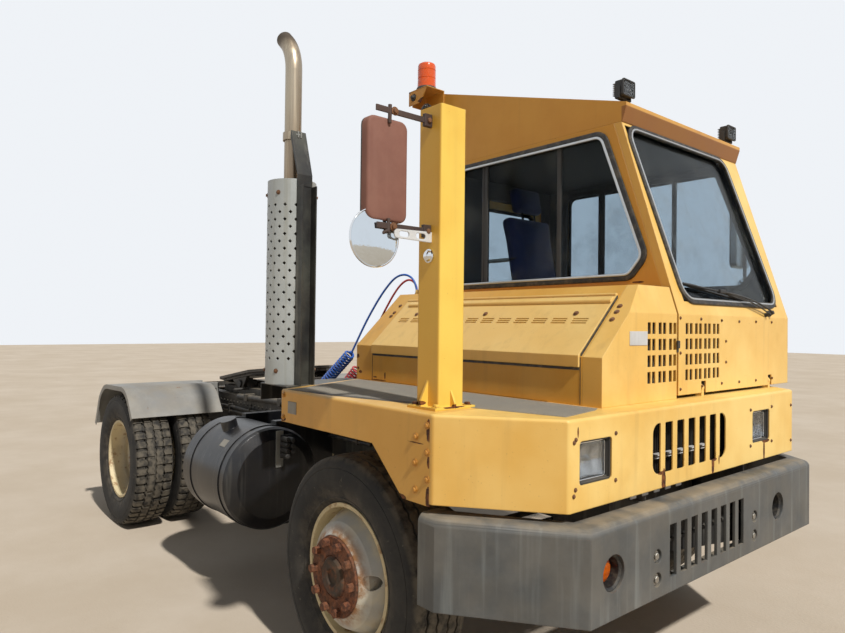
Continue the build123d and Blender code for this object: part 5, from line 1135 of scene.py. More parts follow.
# %% [markdown]
# ## Wiper
# A single wiper is parked low across the windshield: two thin arms side by side carry a yoke, and the yoke holds the
# blade flat. The arms are thin tubes, and the yoke is a bowed outline pushed 8 mm deep, lying in the glass's plane.

# %% Wiper
BLADE_FROM, BLADE_TO = on_screen(100, 1784, -6), on_screen(748, 1715, -6)


def wiper():
    along = (BLADE_TO - BLADE_FROM).normalized()
    across = along.cross(SCREEN_FACING)
    length = (BLADE_TO - BLADE_FROM).length
    blade = slab([BLADE_FROM + SCREEN_FACING * up + across * off
                  for up, off in ((-0.008, 0.0), (0.0, 0.004), (0.008, 0.003), (0.008, -0.003), (0.0, -0.004))],
                 along * length)
    pieces = [blade]
    for start, end, rise in ((0.06, 0.94, 0.026), (0.02, 0.32, 0.014), (0.68, 0.98, 0.014)):
        middle = (start + end) / 2
        bow = [(start, 0.008), (middle, rise), (end, 0.008), (end, 0.014), (middle, rise + 0.008), (start, 0.014)]
        pieces.append(slab([BLADE_FROM + along * length * share + SCREEN_FACING * up - across * 0.004
                            for share, up in bow], across * 0.008, 0.001))
    middle = (BLADE_FROM + BLADE_TO) / 2 + SCREEN_FACING * 0.034
    hub = on_screen(950, 1660, 26)
    other = on_screen(905, 1652, 22)
    pieces.append(tube([hub, on_screen(760, 1722, 42), middle], 0.0045))
    pieces.append(tube([other, on_screen(760, 1704, 38), middle + along * 0.05], 0.0035))
    for y, z, radius in ((950, 1660, 17), (905, 1652, 11)):
        foot = [(0, 0), (0, radius), (12, radius), (20, radius * 0.7), (34, radius * 0.6), (36, 0)]
        pieces.append(spun(foot, on_screen(y, z, -4), SCREEN_FACING, 20))
    pieces.append(block(middle - Vector((0.009, 0.03, 0.009)), middle + Vector((0.009, 0.03, 0.009)), 0.003))
    return pieces


dress("wiper", wiper(), dark_plastic, "cab")

# %% [markdown]
# ## Mirrors
# The right mirrors hang on a post that stands on the deck, the left ones on two arms from the cab. A flat mirror is
# a moulded back with soft corners, a black rim and the glass on its rear side. The round one is a spun steel bowl
# with a domed glass in front, seen here from ahead. Flat bars with rusty bolts carry them.


# %% Mirrors and their arms
def carved(piece, cutter):
    """Cut one closed piece out of another."""
    alone(piece)
    cut = piece.modifiers.new("cut", "BOOLEAN")
    cut.operation = "DIFFERENCE"
    cut.solver = "EXACT"
    cut.object = cutter
    bpy.ops.object.modifier_apply(modifier=cut.name)
    bpy.data.objects.remove(cutter)
    return piece


def upright(x, y, z, half_width, half_height):
    """Corners of an upright rectangle that faces forward, anticlockwise as seen from ahead."""
    return [at(x, y + a * half_width, z + b * half_height) for a, b in CORNERS]


FLAT_MIRROR_Z, FLAT_HALF_WIDTH, FLAT_HALF_HEIGHT = 2131, 90, 185
ROUND_MIRROR_RADIUS = 106


def flat_mirror(word, front_x, y, body, back_finish, node):
    shell = drawn(rounded(upright(front_x, y, FLAT_MIRROR_Z, FLAT_HALF_WIDTH, FLAT_HALF_HEIGHT), 0.032))
    bpy.ops.mesh.extrude_region_move(TRANSFORM_OT_translate={"value": (-0.037, 0, 0)})
    closed_up(shell)
    front_edge = axle_x + front_x / 1000 - 1e-4
    mode("EDIT")
    bpy.ops.mesh.select_mode(type="EDGE")
    bpy.ops.mesh.select_all(action="DESELECT")
    mode("OBJECT")
    for edge in shell.data.edges:
        edge.select = all(shell.data.vertices[v].co.x > front_edge for v in edge.vertices)
    mode("EDIT")
    bpy.ops.mesh.bevel(offset=0.011, segments=4, affect="EDGES")
    mode("OBJECT")
    smooth_to(35)
    dress(word + "_mirror_back", shell, back_finish, body, slot="brown_plastic", node=node)
    outline = rounded(upright(front_x - 40, y, FLAT_MIRROR_Z, FLAT_HALF_WIDTH, FLAT_HALF_HEIGHT), 0.032)
    dress(word + "_mirror_rim", ring(outline, 0.01, 0.01, 0.002), black_rubber, body, node=node)
    face = slab(rounded(upright(front_x - 44, y, FLAT_MIRROR_Z, FLAT_HALF_WIDTH - 8, FLAT_HALF_HEIGHT - 8), 0.026),
                (0.006, 0, 0))
    dress(word + "_mirror_glass", face, mirror_glass, body, node=node)


def round_mirror(word, front_x, y, z, body, node):
    tip = at(front_x, y, z)
    r = ROUND_MIRROR_RADIUS
    dome = [(-14 * (k / 7) ** 2, (r - 4) * k / 7) for k in range(8)]
    glass_piece = spun(dome + [(-20, r - 4), (-20, 0)], tip, AHEAD, 48)
    dress(word + "_round_mirror_glass", glass_piece, mirror_glass, body, node=node)
    bowl = [(-36 + 14 * (k / 6) ** 2, (r - 2) * k / 6) for k in range(7)]
    edge = [(-18, r), (-12, r), (-10.5, r - 3), (-13, r - 6)]
    dress(word + "_round_mirror_bowl", spun(bowl + edge, tip, AHEAD, 48), chrome, body, node=node)


def mirror_arms(word, body, bars, stems, node):
    """Flat bars of 24 by 6 mm and round stems, each from a pair of points."""
    pieces = [block(at(*low), at(*high), 0.0015) for low, high in bars]
    pieces += [tube([at(*p) for p in points], radius / 1000) for points, radius in stems]
    dress(word + "_mirror_arms", pieces, mirror_arm_black, body, node=node)


flat_mirror("right", 514, -1320, "chassis", brown_back, "right_mirrors")
round_mirror("right", 516, -1367, 1885, "chassis", "right_mirrors")
mirror_arms("right", "chassis",
            [((516, -1381, 2330), (522, -1112, 2352)), ((516, -1372, 1918), (522, -1112, 1940)),
             ((510, -1160, 2318), (526, -1124, 2366)), ((510, -1160, 1904), (526, -1124, 1952))],
            [([(520, -1320, 1905), (520, -1320, 1928), (518, -1320, 1956)], 7),
             ([(518, -1320, 2296), (520, -1320, 2330), (520, -1320, 2362)], 7),
             ([(520, -1320, 1914), (514, -1336, 1908), (498, -1356, 1890)], 7)], "right_mirrors")
flat_mirror("left", 602, 1320, "cab", aluminium, "left_mirror")
round_mirror("left", 596, 1367, 1780, "cab", "left_mirror")
mirror_arms("left", "cab", [((596, 1197, 1758), (624, 1203, 1790)), ((596, 1197, 2330), (624, 1203, 2366))],
            [([(610, 1200, 1770), (610, 1262, 1770), (610, 1316, 1770), (610, 1320, 1800)], 9),
             ([(610, 1200, 2348), (610, 1262, 2352), (610, 1316, 2360), (610, 1320, 2330)], 9),
             ([(610, 1320, 1760), (610, 1320, 2060), (610, 1320, 2366)], 10),
             ([(610, 1320, 1915), (600, 1340, 1870), (584, 1356, 1830)], 7)], "left_mirror")
mirror_bolts = [at(522, y, z) for y, z in ((-1300, 2342), (-1140, 2342), (-1300, 1928), (-1140, 1928))]
dress("mirror_bolts", bolt_row(mirror_bolts, AHEAD, 0.01, 0.008), rusty_bolt)

bracket = slab(rounded([at(524, y, z) for y, z in ((-1300, 1890), (-1118, 1886), (-1118, 1926), (-1300, 1922))],
                       0.012), (0.005, 0, 0))
for low, high in ((-1278, -1232), (-1200, -1154)):
    slot = slab(rounded([at(515, y, z) for y, z in ((low, 1896), (high, 1896), (high, 1916), (low, 1916))], 0.0095),
                (0.03, 0, 0))
    bracket = carved(bracket, slot)
dress("drilled_mirror_bracket", bracket, plate_white, slot="yellow_paint")
marker = spun([(0, 0), (0, 26), (8, 26), (10, 21), (18, 18), (24, 10), (25, 0)], at(520, -1124, 1837), RIGHTWARD, 24)
dress("post_marker_lamp", marker, chrome)

# %% [markdown]
# ## Headlamps
# Each headlamp is a sealed beam: a steel bucket behind the band, a mirror bowl, and a square glass with moulded
# flutes. It sits a little deeper than its hole, so a dark gap shows on the side that is further from the eye. The
# bowl is a grid whose points are pushed back by a parabola, and the flutes are bump in the glass.


# %% Headlamps
def sheet_of(corner, along, up, columns, rows, depth_of, thickness=0.002):
    """A grid spanned by two edge vectors, with its points pushed along X by depth_of(u, v)."""
    bpy.ops.object.select_all(action="DESELECT")
    bpy.ops.mesh.primitive_grid_add(x_subdivisions=columns, y_subdivisions=rows, size=2)
    piece = bpy.context.object
    for vertex in piece.data.vertices:
        u, v = vertex.co.x, vertex.co.y
        vertex.co = corner + along * (u + 1) / 2 + up * (v + 1) / 2 + AHEAD * depth_of(u, v)
    mode("EDIT")
    closed_up(piece)
    thick(piece, thickness, offset=0.0)
    smooth_to(40)
    return piece


def fluted(name, color, transmission=1.0, pitch=0.007):
    """Moulded lamp glass: upright flutes in even bump."""
    lens = Finish(name)
    flutes = (lens.axis("Y") * (2 * math.pi / pitch)).wave() + 0.4 * (lens.axis("Z") * (2 * math.pi / 0.02)).wave()
    film = lens.noise(20, 4, roughness=0.7).step(0.4, 0.8)
    tint = lens.mix(film * 0.15, color, DUST)
    return lens.done(tint, 0.04 + 0.12 * film, bump=flutes, depth=0.0009, Transmission_Weight=transmission, IOR=1.4)


headlamp_glass = fluted("headlamp_glass", (246, 248, 248))
amber_glass = fluted("amber_glass", (255, 122, 10), 0.35, 0.004)
smoked_glass = fluted("smoked_glass", (60, 56, 52), 0.5)
red_glass = fluted("red_glass", (200, 22, 18), 0.35, 0.005)
HEADLAMP_Z = 1115
HEADLAMP_Y = (-785, 558)
for word, y in zip(("near", "far"), HEADLAMP_Y):
    name = word + "_headlamp"
    bucket = [ring(rounded(upright(1011, y, HEADLAMP_Z, 104, 84), 0.012), 0.015, 0.014),
              ring(rounded(upright(980, y, HEADLAMP_Z, 92, 72), 0.012), 0.005, 0.056),
              block(at(949, y - 88, HEADLAMP_Z - 68), at(953, y + 88, HEADLAMP_Z + 68), 0.0015)]
    dress(name + "_bucket", bucket, dark_plastic, slot="lamp_lens", node="front_lamps")
    bowl = sheet_of(at(992, y - 80, HEADLAMP_Z - 62), Vector((0, 0.16, 0)), Vector((0, 0, 0.124)), 16, 12,
                    lambda u, v: -0.034 * (1 - (u * u + v * v) / 2))
    dress(name + "_bowl", bowl, chrome, slot="lamp_lens", node="front_lamps")
    face = slab(rounded(upright(994, y, HEADLAMP_Z, 82, 64), 0.014), (0.007, 0, 0), 0.0015)
    dress(name + "_glass", face, headlamp_glass, node="front_lamps")
    trim = ring(rounded(upright(999, y, HEADLAMP_Z, 85, 67), 0.016), 0.005, 0.01, 0.0015)
    dress(name + "_trim", trim, chrome, slot="lamp_lens", node="front_lamps")
    bulb = spun([(0, 0), (0, 8), (18, 9), (24, 6), (26, 0)], at(960, y, HEADLAMP_Z), AHEAD, 16)
    dress(name + "_bulb_cap", bulb, chrome, slot="lamp_lens", node="front_lamps")

# %% [markdown]
# ## Turn signals
# The bumper has a round hole for each signal. In the near one an amber lamp sits deep and shows at one side only;
# the far one is dark. Both are turned parts: a rubber collar behind the plate, a bowl, and a domed lens.

# %% Turn signals
SIGNALS = (("near", -800, amber_glass), ("far", 540, smoked_glass))
for word, y, lens in SIGNALS:
    name = word + "_signal"
    seat_of = at(1036, y, 752)
    collar = spun([(0, 0), (0, 56), (52, 56), (52, 77), (60, 77), (62, 60), (56, 52), (6, 50), (4, 0)], seat_of,
                  AHEAD, 40)
    dress(name + "_collar", collar, black_rubber, slot="amber_lens", node="front_lamps")
    dome = spun([(8, 0), (8, 46), (20, 46), (30, 42), (37, 30), (40, 14), (41, 0)], seat_of, AHEAD, 40)
    dress(name + "_lens", dome, lens, slot="amber_lens", node="front_lamps")

# %% [markdown]
# ## Tail lamps
# At the frame's end a plate on each side carries two round lamps: a red one for tail and stop, and an amber one for
# turning. Each is a rubber ring with a stepped lens.

# %% Tail lamps
lenses = {"red": [], "amber": []}
grommets = []
for side in (-1, 1):
    for color, y in (("amber", 500), ("red", 605)):
        foot = at(-3864, side * y, 905)
        grommets.append(spun([(0, 34), (0, 52), (16, 52), (19, 48), (19, 40), (10, 38)], foot, BACKWARD, 32))
        lenses[color].append(spun([(4, 0), (4, 41), (24, 41), (29, 36), (30, 20), (28, 18), (30, 16), (30, 0)], foot,
                                  BACKWARD, 32))
plates = [block(at(-3864, min(side * 430, side * 660), 830), at(-3858, max(side * 430, side * 660), 980), 0.0015)
          for side in (-1, 1)]
dress("tail_lamp_plates", plates, chassis_black, node="tail_lamps")
dress("tail_lamp_grommets", grommets, black_rubber, node="tail_lamps")
dress("amber_tail_lenses", lenses["amber"], amber_glass, node="tail_lamps")
dress("red_tail_lenses", lenses["red"], red_glass, node="tail_lamps")

# %% [markdown]
# ## Behind the grilles
# Through the slots of the band one looks at the radiator: dark fins, with pale tabs where its side straps bend
# forward. A dark plate of painted shade hangs behind the bumper's slots too, and ends above their foot, so the yard
# shows below it. Both are folded sheets with a row of ribs.

# %% Radiator guard, tabs and a plate of painted shade behind the bumper
# Black for the radiator guard, the lid's liner, the hood's baffle and the rail holes, and for painted shade.
soot_black = worn("soot_black", (16, 16, 16), (30, 28, 26), 0.8, 0.3)
guard = [block(at(946, -440, 960), at(950, 330, 1262), 0.001)]
for i in range(51):
    guard.append(block(at(950, -436 + 15 * i, 966), at(960, -434 + 15 * i, 1256), 0.0004, 1))
dress("radiator_guard", guard, soot_black)
tabs = [block(at(958, 91.5 * i - 421, low), at(front, 91.5 * i + end, high), 0.001)
        for front, end, low, high in ((990, -357, 1068, 1073), (984, -363, 1056, 1060)) for i in range(6)]
tabs += [block(at(1000, -536 + 84 * i, 934), at(1004, -496 + 84 * i, 956), 0.001) for i in range(5)]
tabs.append(block(at(1004, -560, 948), at(1008, -150, 958), 0.001))
dress("radiator_tabs", tabs, plate_white)
# Painted shade: a dark plate behind the bumper's slots, its foot sloping where the shade inside the bumper ends.
lower = [slab([at(1020, y, z) for y, z in ((-320, 697), (500, 596), (500, 905), (-320, 905))], (0.005, 0, 0), 0.001)]
for z in (740, 800, 860):
    lower.append(block(at(1024, -316, z), at(1036, 496, z + 10), 0.002))
dress("bumper_guard", lower, soot_black)

# %% [markdown]
# ## Beacon
# The flashing beacon stands on a folded bracket at the roof's rear corner. Its base is black, its lens amber in
# three bands. A cable gland shows in the bracket's hole, and a small clear lamp hangs below.

# %% Beacon, its bracket and the lamp below
SHELF_LOW, SHELF_TOP = 3034, 3040
folds = [block(at(-826, -144, SHELF_LOW), at(-653, 0, SHELF_TOP), 0.0015),
         block(at(-826, -6, 2950), at(-653, 0, SHELF_TOP), 0.0015),
         slab([at(-826, y, z) for y, z in ((-144, 3038), (-3, 3038), (-3, 2950), (-114, 2950))], (0.006, 0, 0),
              0.001)]
skirt = slab([at(x, -144, z) for x, z in ((-826, 3038), (-653, 3038), (-713, 2950), (-826, 2950))], (0, 0.006, 0),
             0.001)
hole = spun([(-20, 0), (-20, 24), (20, 24), (20, 0)], at(-780, -141, 2995), (0, 1, 0), 32)
folds.append(carved(skirt, hole))
bracket_yellow = yellow("bracket_yellow", [(-826, -120, 3036, 30, 30, 14), (-700, -141, 2960, 40, 12, 16)],
                        deep=(190, 130, 52), faded=(206, 150, 70), dirt=0.8)
dress("beacon_bracket", folds, bracket_yellow, "cab", node="beacon")
BEACON_FOOT = at(-740, -72, SHELF_TOP)
base = spun([(0, 0), (0, 64), (4, 66), (10, 66), (12, 63), (18, 62), (22, 58), (22, 0)], BEACON_FOOT, UPWARD)
dress("beacon_base", base, dark_plastic, "cab", node="beacon")
bands = [(22, 0), (22, 57.5), (30, 57.5)]
for z in (73.3, 124.7):
    bands += [(z - 4, 56.5), (z - 1, 54.5), (z + 1, 54.5), (z + 4, 56.5)]
bands += [(156, 56), (166, 52), (173, 42), (176, 28), (176, 0)]
beacon_amber = plain_shine("beacon_amber", (238, 92, 4), 0.2, speck=0.15, Transmission_Weight=0.12, IOR=1.3,
                           Coat_Weight=0.6)
dress("beacon_lens", spun(bands, BEACON_FOOT, UPWARD), beacon_amber, "cab", node="beacon")

gland = spun([(-8, 0), (-8, 20), (3, 20), (5, 12), (18, 10), (20, 0)], at(-780, -144, 2995), RIGHTWARD, 20)
lamp_back = spun([(-30, 0), (-26, 26), (-10, 44), (0, 47), (6, 47), (6, 43), (2, 41)], at(-700, -96, 2900), AHEAD, 32)
hanger = tube([at(-720, -96, 2950), at(-724, -96, 2932), at(-722, -96, 2915), at(-714, -96, 2904)], 0.007)
dress("rear_lamp_body", [gland, lamp_back, hanger], dark_plastic, "cab")
rear_lens = spun([(0, 0), (0, 42), (6, 40), (10, 26), (12, 0)], at(-698, -96, 2900), AHEAD, 32)
dress("rear_lamp_lens", rear_lens, headlamp_glass, "cab")

# %% [markdown]
# ## Work lamps
# Two square lamps stand on the roof's front edge, each in a bent strap. A cast body with cooling fins, a bezel, a
# bright bowl and a glass.


# %% Work lamps
def work_lamp(name, y):
    half = 52
    back, front, low, high = 545, 613, 2692, 2770
    middle = (low + high) / 2
    body = [block(at(back + 14, y - 45, low + 2), at(front - 10, y + 45, high), 0.006)]
    for i in range(7):
        z = low + 8 + 9.4 * i
        body.append(block(at(back, y - 40, z), at(back + 20, y + 40, z + 3), 0.001, 1))
    for side in (-1, 1):
        outer = y + side * half
        body.append(block(at(back + 20, min(outer, outer - side * 5), low - 12),
                          at(back + 46, max(outer, outer - side * 5), low + 46), 0.0015))
    body.append(block(at(back + 20, y - half, low - 12), at(back + 46, y + half, low - 7), 0.0015))
    body.append(spun([(-30, 0), (-30, 10), (-12, 10), (-12, 14), (-7, 14), (-7, 0)], at(back + 33, y, low), UPWARD,
                     6))
    body.append(ring(rounded(upright(front - 5, y, middle, half, 41), 0.01), 0.008, 0.01, 0.002))
    dress(name + "_body", body, dark_plastic, "cab", node="roof_lamps")
    bowl = sheet_of(at(front - 9, y - 43, low + 8), Vector((0, 0.086, 0)), Vector((0, 0, 0.064)), 12, 9,
                    lambda u, v: -0.006 * (1 - (u * u + v * v) / 2))
    dress(name + "_bowl", bowl, chrome, "cab", slot="lamp_lens", node="roof_lamps")
    face = slab(rounded(upright(front - 7, y, middle, 45, 34), 0.006), (0.004, 0, 0), 0.001)
    dress(name + "_glass", face, headlamp_glass, "cab", node="roof_lamps")


work_lamp("near_work_lamp", 56)
work_lamp("far_work_lamp", 1140)

# %% [markdown]
# ## Screws and bolts on the front
# Sheet metal shows where it is fixed. Screws sit round each headlamp and at the band's corners, and bolts with
# washers hold the bumper, sunk into counterbores that are cut into a copy of the CAD bumper. A panel in the cab's
# front is held by more screws. Each row is one joined piece.

# %% Screws and bolts on the front
band_screws = []
for y in HEADLAMP_Y:
    band_screws += [at(BAND_FACE, y + a * 118, HEADLAMP_Z + b * 84) for a in (-1, 1) for b in (-1, 1)]
band_screws += [at(BAND_FACE, y, z) for y in (-912, 912) for z in (1010, 1190)]
dress("band_screws", bolt_row(band_screws, AHEAD, 0.0055, 0.003, 1.4), rusty_bolt)
bumper = bpy.data.objects.new("bored_bumper", cad_nodes["front_bumper"].data.copy())
scene.collection.objects.link(bumper)
alone(bumper)
mode("EDIT")
closed_up(bumper)
bumper_bolts = [at(1097, y, z) for y in (-522, 290) for z in (748, 664)]
for place in bumper_bolts:
    bore = spun([(0, 0), (0, 26), (30, 28), (30, 0)], place, AHEAD, 32)
    bumper = carved(bumper, bore)
dress("bored_bumper", bumper, bumper_paint, node="front_bumper")
dress("bumper_bolts", bolt_row(bumper_bolts, AHEAD, 0.014, 0.008, 1.5), bolt_steel)
panel_screws = [at(CAB_FRONT, y, z) for y, z in ((13, 1624), (201, 1622), (404, 1618), (591, 1615), (784, 1616),
                                                 (978, 1616), (449, 1518), (451, 1417), (215, 1314), (408, 1317),
                                                 (594, 1315), (786, 1314), (987, 1317), (15, 1469), (17, 1309))]
dress("cab_panel_screws", bolt_row(panel_screws, AHEAD, 0.005, 0.003, 1.4), rusty_bolt, "cab")

# %% [markdown]
# ## Seat
# The driver's seat is soft: blue cloth over foam, a cushion, a back and a head rest, each its own padded piece with
# a crown and pulled-in corners. The cover is swollen by the cloth simulation from a slightly smaller block, no point
# may move more than a cap, and a welt of thin cord is laid round each one afterwards.


# %% Padded pieces blown up like cushions
SEAT_VOXEL = 0.014


def turned(points, foot, lean):
    """Move points given from foot, turned back by lean about the Y axis."""
    turn = Matrix.Rotation(-lean, 3, "Y")
    return [foot + turn @ Vector(point) for point in points]


def padded_piece(name, foot, size, lean, cap):
    length, width, height = size
    piece = block((-length / 2, -width / 2, 0), (length / 2, width / 2, height), min(size) * 0.36, 5)
    for vertex, place in zip(piece.data.vertices, turned([v.co.copy() for v in piece.data.vertices], foot, lean)):
        vertex.co = place
    alone(piece)
    piece.data.remesh_voxel_size = SEAT_VOXEL
    bpy.ops.object.voxel_remesh()
    start = [v.co.copy() for v in piece.data.vertices]
    cover = piece.modifiers.new("cover", "CLOTH")
    cover.settings.use_pressure = True
    cover.settings.uniform_pressure_force = 4
    cover.settings.effector_weights.gravity = 0
    cover.point_cache.frame_end = 20
    for frame in range(1, 21):
        scene.frame_set(frame)
    bpy.ops.object.modifier_apply(modifier=cover.name)
    for vertex, first in zip(piece.data.vertices, start):
        moved_by = vertex.co - first
        if moved_by.length > cap:
            vertex.co = first + moved_by.normalized() * cap
    scene.frame_set(1)
    smooth = piece.modifiers.new("smooth", "SUBSURF")
    smooth.levels = smooth.render_levels = 1
    bpy.ops.object.modifier_apply(modifier=smooth.name)
    bpy.ops.object.shade_smooth()
    dress(name, piece, seat_cloth, "cab", node="seat")
    welt = [(a * (length / 2 - 0.012), b * (width / 2 - 0.012), height * 0.5) for a, b in CORNERS]
    outline = rounded([Vector(point) for point in welt], min(length, width) * 0.2)
    outline.append(outline[0])
    cord = tube(turned(outline, foot, lean), 0.004, 2)
    dress(name + "_welt", cord, black_rubber, "cab", slot="seat_fabric")


LEAN = math.radians(11.1)
back_foot, = turned([(0, 0, 0.02)], at(-400, 620, 1702), LEAN)
padded_piece("seat_cushion", at(-130, 620, 1640), (0.46, 0.46, 0.105), math.radians(3), 0.016)
padded_piece("seat_back", back_foot, (0.085, 0.42, 0.585), LEAN, 0.016)
padded_piece("seat_head_rest", at(-501, 620, 2325), (0.075, 0.25, 0.165), LEAN, 0.010)
frame_of_seat = [block(at(-320, 450, 1322), at(30, 790, 1345), 0.004),
                 block(at(-330, 440, 1600), at(40, 800, 1638), 0.008)]
for i in range(7):
    frame_of_seat.append(block(at(-300 + 4 * (i % 2), 470 + 4 * (i % 2), 1346 + 36 * i),
                               at(10 - 4 * (i % 2), 770 - 4 * (i % 2), 1380 + 36 * i), 0.012))
for y in (560, 680):
    frame_of_seat.append(tube([at(-480, y, 2240), at(-505, y, 2370)], 0.007, kind="POLY"))
    frame_of_seat.append(block(at(-420, y - 110 if y < 600 else y + 80, 1600),
                               at(-360, y - 80 if y < 600 else y + 110, 1720), 0.006))
dress("seat_base", frame_of_seat, dark_plastic, "cab", node="seat")

# %% [markdown]
# ## Dash
# The dash is a CAD solid, a dark shape behind the glass in the picture. It gets four round gauges.

# %% Gauges on the dash
gauges = [spun([(0, 0), (0, 30), (5, 32), (8, 29), (4, 27), (3, 0)], at(420, 500 + 80 * i, 1790), (-0.8, 0, 0.6), 20)
          for i in range(4)]
dress("dash_gauges", gauges, aluminium, "cab", slot="")

# %% [markdown]
# ## Deck and post
# The right deck carries an anti-slip sheet, grey and scuffed, with a darker strip of painted shadow along its
# outer edge. Bolts hold the post's foot and the skirt. One blank plate sits on the skirt, and another on the cab's
# front.


# %% Anti-slip sheets, foot bolts, blank plates
DECK_Z = 1268


def flat_sheet(name, corners, height, finish):
    outline = [at(x, y, DECK_Z - 0.5) for x, y in corners]
    return dress(name, slab(outline, (0, 0, height), 0.0006, 1), finish, slot="grey_fender")


flat_sheet("deck_sheet", [(-690, -600), (900, -600), (925, -650), (975, -892), (600, -980), (-50, -1140),
                          (-385, -1175)], 0.0026, deck_grit)
# Painted shadow: a dark grit strip along the deck's outer edge.
flat_sheet("deck_edge_strip", [(-385, -1176), (-50, -1141), (400, -1032), (400, -1068), (-50, -1180), (-392, -1206)],
           0.0022, deck_grit_dark)
flat_sheet("left_deck_sheet", [(-380, 560), (600, 560), (600, 1170), (-380, 1170)], 0.0026, deck_grit)
foot_bolts = [at(x, y, 1278) for x in (462, 580) for y in (-1138, -980)]
post_trim = yellow("post_bolt_yellow", [(462, -1138, 1284, 20, 20, 9), (580, -980, 1284, 20, 20, 9)], dirt=0.5,
                   **POST_COLORS)
dress("post_foot_bolts", bolt_row(foot_bolts, UPWARD, 0.012, 0.009, 1.5), post_trim)
skirt_bolts = [at(x, SKIRT_FACE, z) for x, z in ((564, 1179), (561, 1086), (563, 990), (626, 1226), (627, 1132),
                                                 (628, 1037), (-405, 1244), (-405, 1140))]
dress("right_skirt_bolts", bolt_row(skirt_bolts, RIGHTWARD, 0.009, 0.006, 1.5), bracket_yellow, slot="stained_steel")
dress("skirt_plate", block(at(-362, -1222.5, 1162), at(-286, -1219.5, 1218), 0.001), plate_grey)
dress("hood_plate", block(at(901.5, -388, 1506), at(904, -256, 1564), 0.0008), plate_white)

# %% [markdown]
# ## Hood
# The side lid has a folded seam along its top, dark rubber seals round its edges, three rusty screws above the
# louvres, a dark liner under them, and a latch at the cab's corner. Behind the hood's slots sits a dark baffle.


# %% Lid seam, seals, screws, latch and baffle
def on_lid(y, lift=0.0):
    """Height in mm of the hood's slope at y, plus lift square to it."""
    return 1461 + 0.958 * (y - HOOD_EDGE) + lift * 1.385


def over_lid(x, pairs):
    """Points at x over the hood's slope, each from a y and a lift in mm."""
    return [at(x, y, on_lid(y, lift)) for y, lift in pairs]


SLOPE_OUT = Vector((0, -0.692, 0.722))
seam = ((-346, 12), (-366, 12), (-370, 15), (-370, 22), (-366, 24), (-346, 20))
liner = ((-482, -6), (-482, -2), (-412, -2), (-412, -6))
dress("lid_liner", slab(over_lid(-495, liner), at(790, 0, 0) - at(-495, 0, 0), 0.001), soot_black, "engine_lid",
      slot="black_rubber")
dress("lid_seam", slab(over_lid(-530, seam), at(812, 0, 0) - at(-518, 0, 0), 0.0015), finish_of["hood_lid"],
      "engine_lid", slot="yellow_paint")
seals = [block(at(-578, -580, 1408), at(798, -575, 1419), 0.001)]
for x in (-586, 801):
    edge = ((-574, -2), (-574, 8), (-324, 8), (-324, -2))
    seals.append(slab(over_lid(x, edge), (0.005, 0, 0), 0.0005, 1))
    seals.append(block(at(x, -577.5, 1272), at(x + 2.5, -575, 1458), 0.0003, 1))
dress("lid_seals", seals, black_rubber)
lid_screws = [at(x, -413, on_lid(-413, 14)) for x in (-402, 123, 660)]
dress("lid_screws", bolt_row(lid_screws, SLOPE_OUT, 0.008, 0.005, 1.6), rusty_bolt, "engine_lid")
frame_screws = [at(x, y, on_lid(y)) for x, y in ((-640, -339), (-642, -381), (-645, -403), (842, -387), (840, -362),
                                                 (842, -420))]
dress("hood_screws", bolt_row(frame_screws, SLOPE_OUT, 0.008, 0.004, 1.5), rusty_bolt)
latch = [block(at(903, -22, 1490), at(912, -2, 1524), 0.003), block(at(903, -18, 1472), at(907, -6, 1492), 0.001)]
dress("hood_latch", latch, black_rubber)
dress("hood_baffle", block(at(868, -262, 1290), at(874, -20, 1640), 0.001), soot_black)

# %% [markdown]
# ## Tank and frame
# A galvanised strip runs down the tank's front end, under the CAD's two straps. A light plate is stuck to
# its shoulder. A cluster of valve ends, two long hoses and a pipe run along the frame, whose web has a row of
# punched holes.

# %% Tank trim, valves, hoses, frame holes
dress("tank_strip", block(at(-1106, -886, 736), at(-1101, -838, 950), 0.001), galvanised)
shoulder = Vector((0, -math.cos(0.75), math.sin(0.75)))
across = Vector((0, math.sin(0.75), math.cos(0.75)))
middle = at(-1301, -892, 671) + shoulder * 0.2975
corners = [middle + Vector((a * 0.045, 0, 0)) + across * (b * 0.024) for a, b in CORNERS]
dress("tank_plate", slab(corners, shoulder * 0.002, 0.0004, 1), plate_grey)
valves = [block(at(-1098, -862, 790), at(-1092, -790, 925), 0.002)]
for y, z in ((-846, 904), (-812, 898), (-846, 872), (-812, 866), (-846, 840), (-812, 834), (-846, 808)):
    valves.append(spun([(0, 0), (0, 15), (60, 15), (64, 11), (64, 0)], at(-1092, y, z), AHEAD, 14))
dress("valve_ends", valves, dark_plastic)
hoses = []
for y, z, radius in ((-452, 905, 0.013), (-452, 872, 0.011)):
    line = [at(-760 - 190 * i, y - 6 * (i % 2), z - 5 * (i % 2)) for i in range(12)]
    hoses.append(tube(line, radius, 3))
for i in range(6):
    hoses.append(block(at(-900 - 360 * i, -470, 855), at(-880 - 360 * i, -430, 925), 0.002))
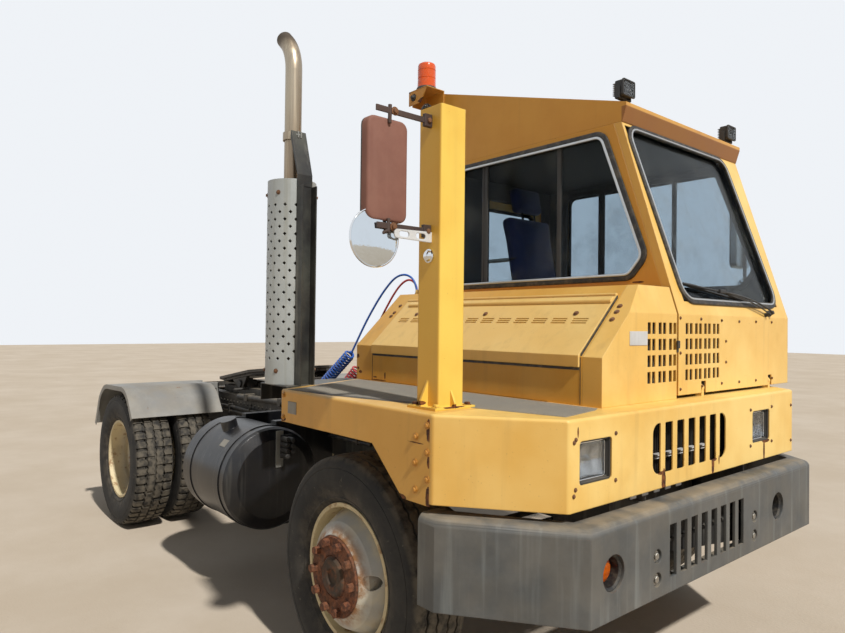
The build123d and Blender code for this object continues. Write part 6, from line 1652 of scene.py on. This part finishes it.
dress("frame_hoses", hoses, black_rubber)
pipe = tube([at(-700, -486, 1052), at(-1500, -484, 1030), at(-2300, -482, 1010), at(-2500, -470, 1000)], 0.024, 4)
dress("frame_pipe", pipe, chassis_black)
saddles = [block(at(x, -514, z - 28), at(x + 30, -430, z + 28), 0.004)
           for x, z in ((-1000, 1044), (-1800, 1023), (-2330, 1009))]
dress("pipe_saddles", saddles, chassis_black)
for word, side in (("right", -1), ("left", 1)):
    holes = [at(-1620 - 62 * i, side * 430, z) for i in range(22) for z in (795, 940)]
    dress(word + "_rail_holes", bolt_row(holes, (0, side, 0), 0.009, 0.004, 1.2), soot_black)

# %% [markdown]
# ## Coupling plate and stack
# The coupling plate gets its release handle, and the exhaust stack a clamp band with ears where the pipe leaves the
# muffler.

# %% Release handle and stack clamp
handle = tube([at(-2520, -300, 1060), at(-2520, -420, 1058), at(-2524, -470, 1052), at(-2560, -480, 1050)], 0.01)
dress("release_handle", handle, chassis_black, "coupling_plate", slot="cast_iron_black")
clamp = spun([(-22, 47), (-22, 51), (-18, 53), (18, 53), (22, 51), (22, 47)], at(-930, -900, 2630), UPWARD, 32)
ears = [clamp, block(at(-884, -912, 2612), at(-850, -904, 2648), 0.001),
        block(at(-884, -896, 2612), at(-850, -888, 2648), 0.001),
        spun([(0, 0), (0, 7), (36, 7), (36, 0)], at(-864, -918, 2630), (0, 1, 0), 6)]
dress("stack_clamp", ears, galvanised, slot="stained_steel")

# %% [markdown]
# ## Floor
# A plain pale yard floor, a little uneven in tone, which keeps the truck's shadow. It is stage, not truck.

# %% Floor
ground = Finish("floor")
tone = ground.mix(ground.noise(0.7, 5, roughness=0.65).step(0.3, 0.75), (202, 187, 167), (215, 202, 185))
ground.done(tone, 0.9, bump=ground.noise(60, 3), depth=0.002)
bpy.ops.object.select_all(action="DESELECT")
bpy.ops.mesh.primitive_plane_add(size=90, location=(0, 0, 0))
floor = bpy.context.object
floor.name = "yard_floor"
floor.data.materials.append(ground.material)
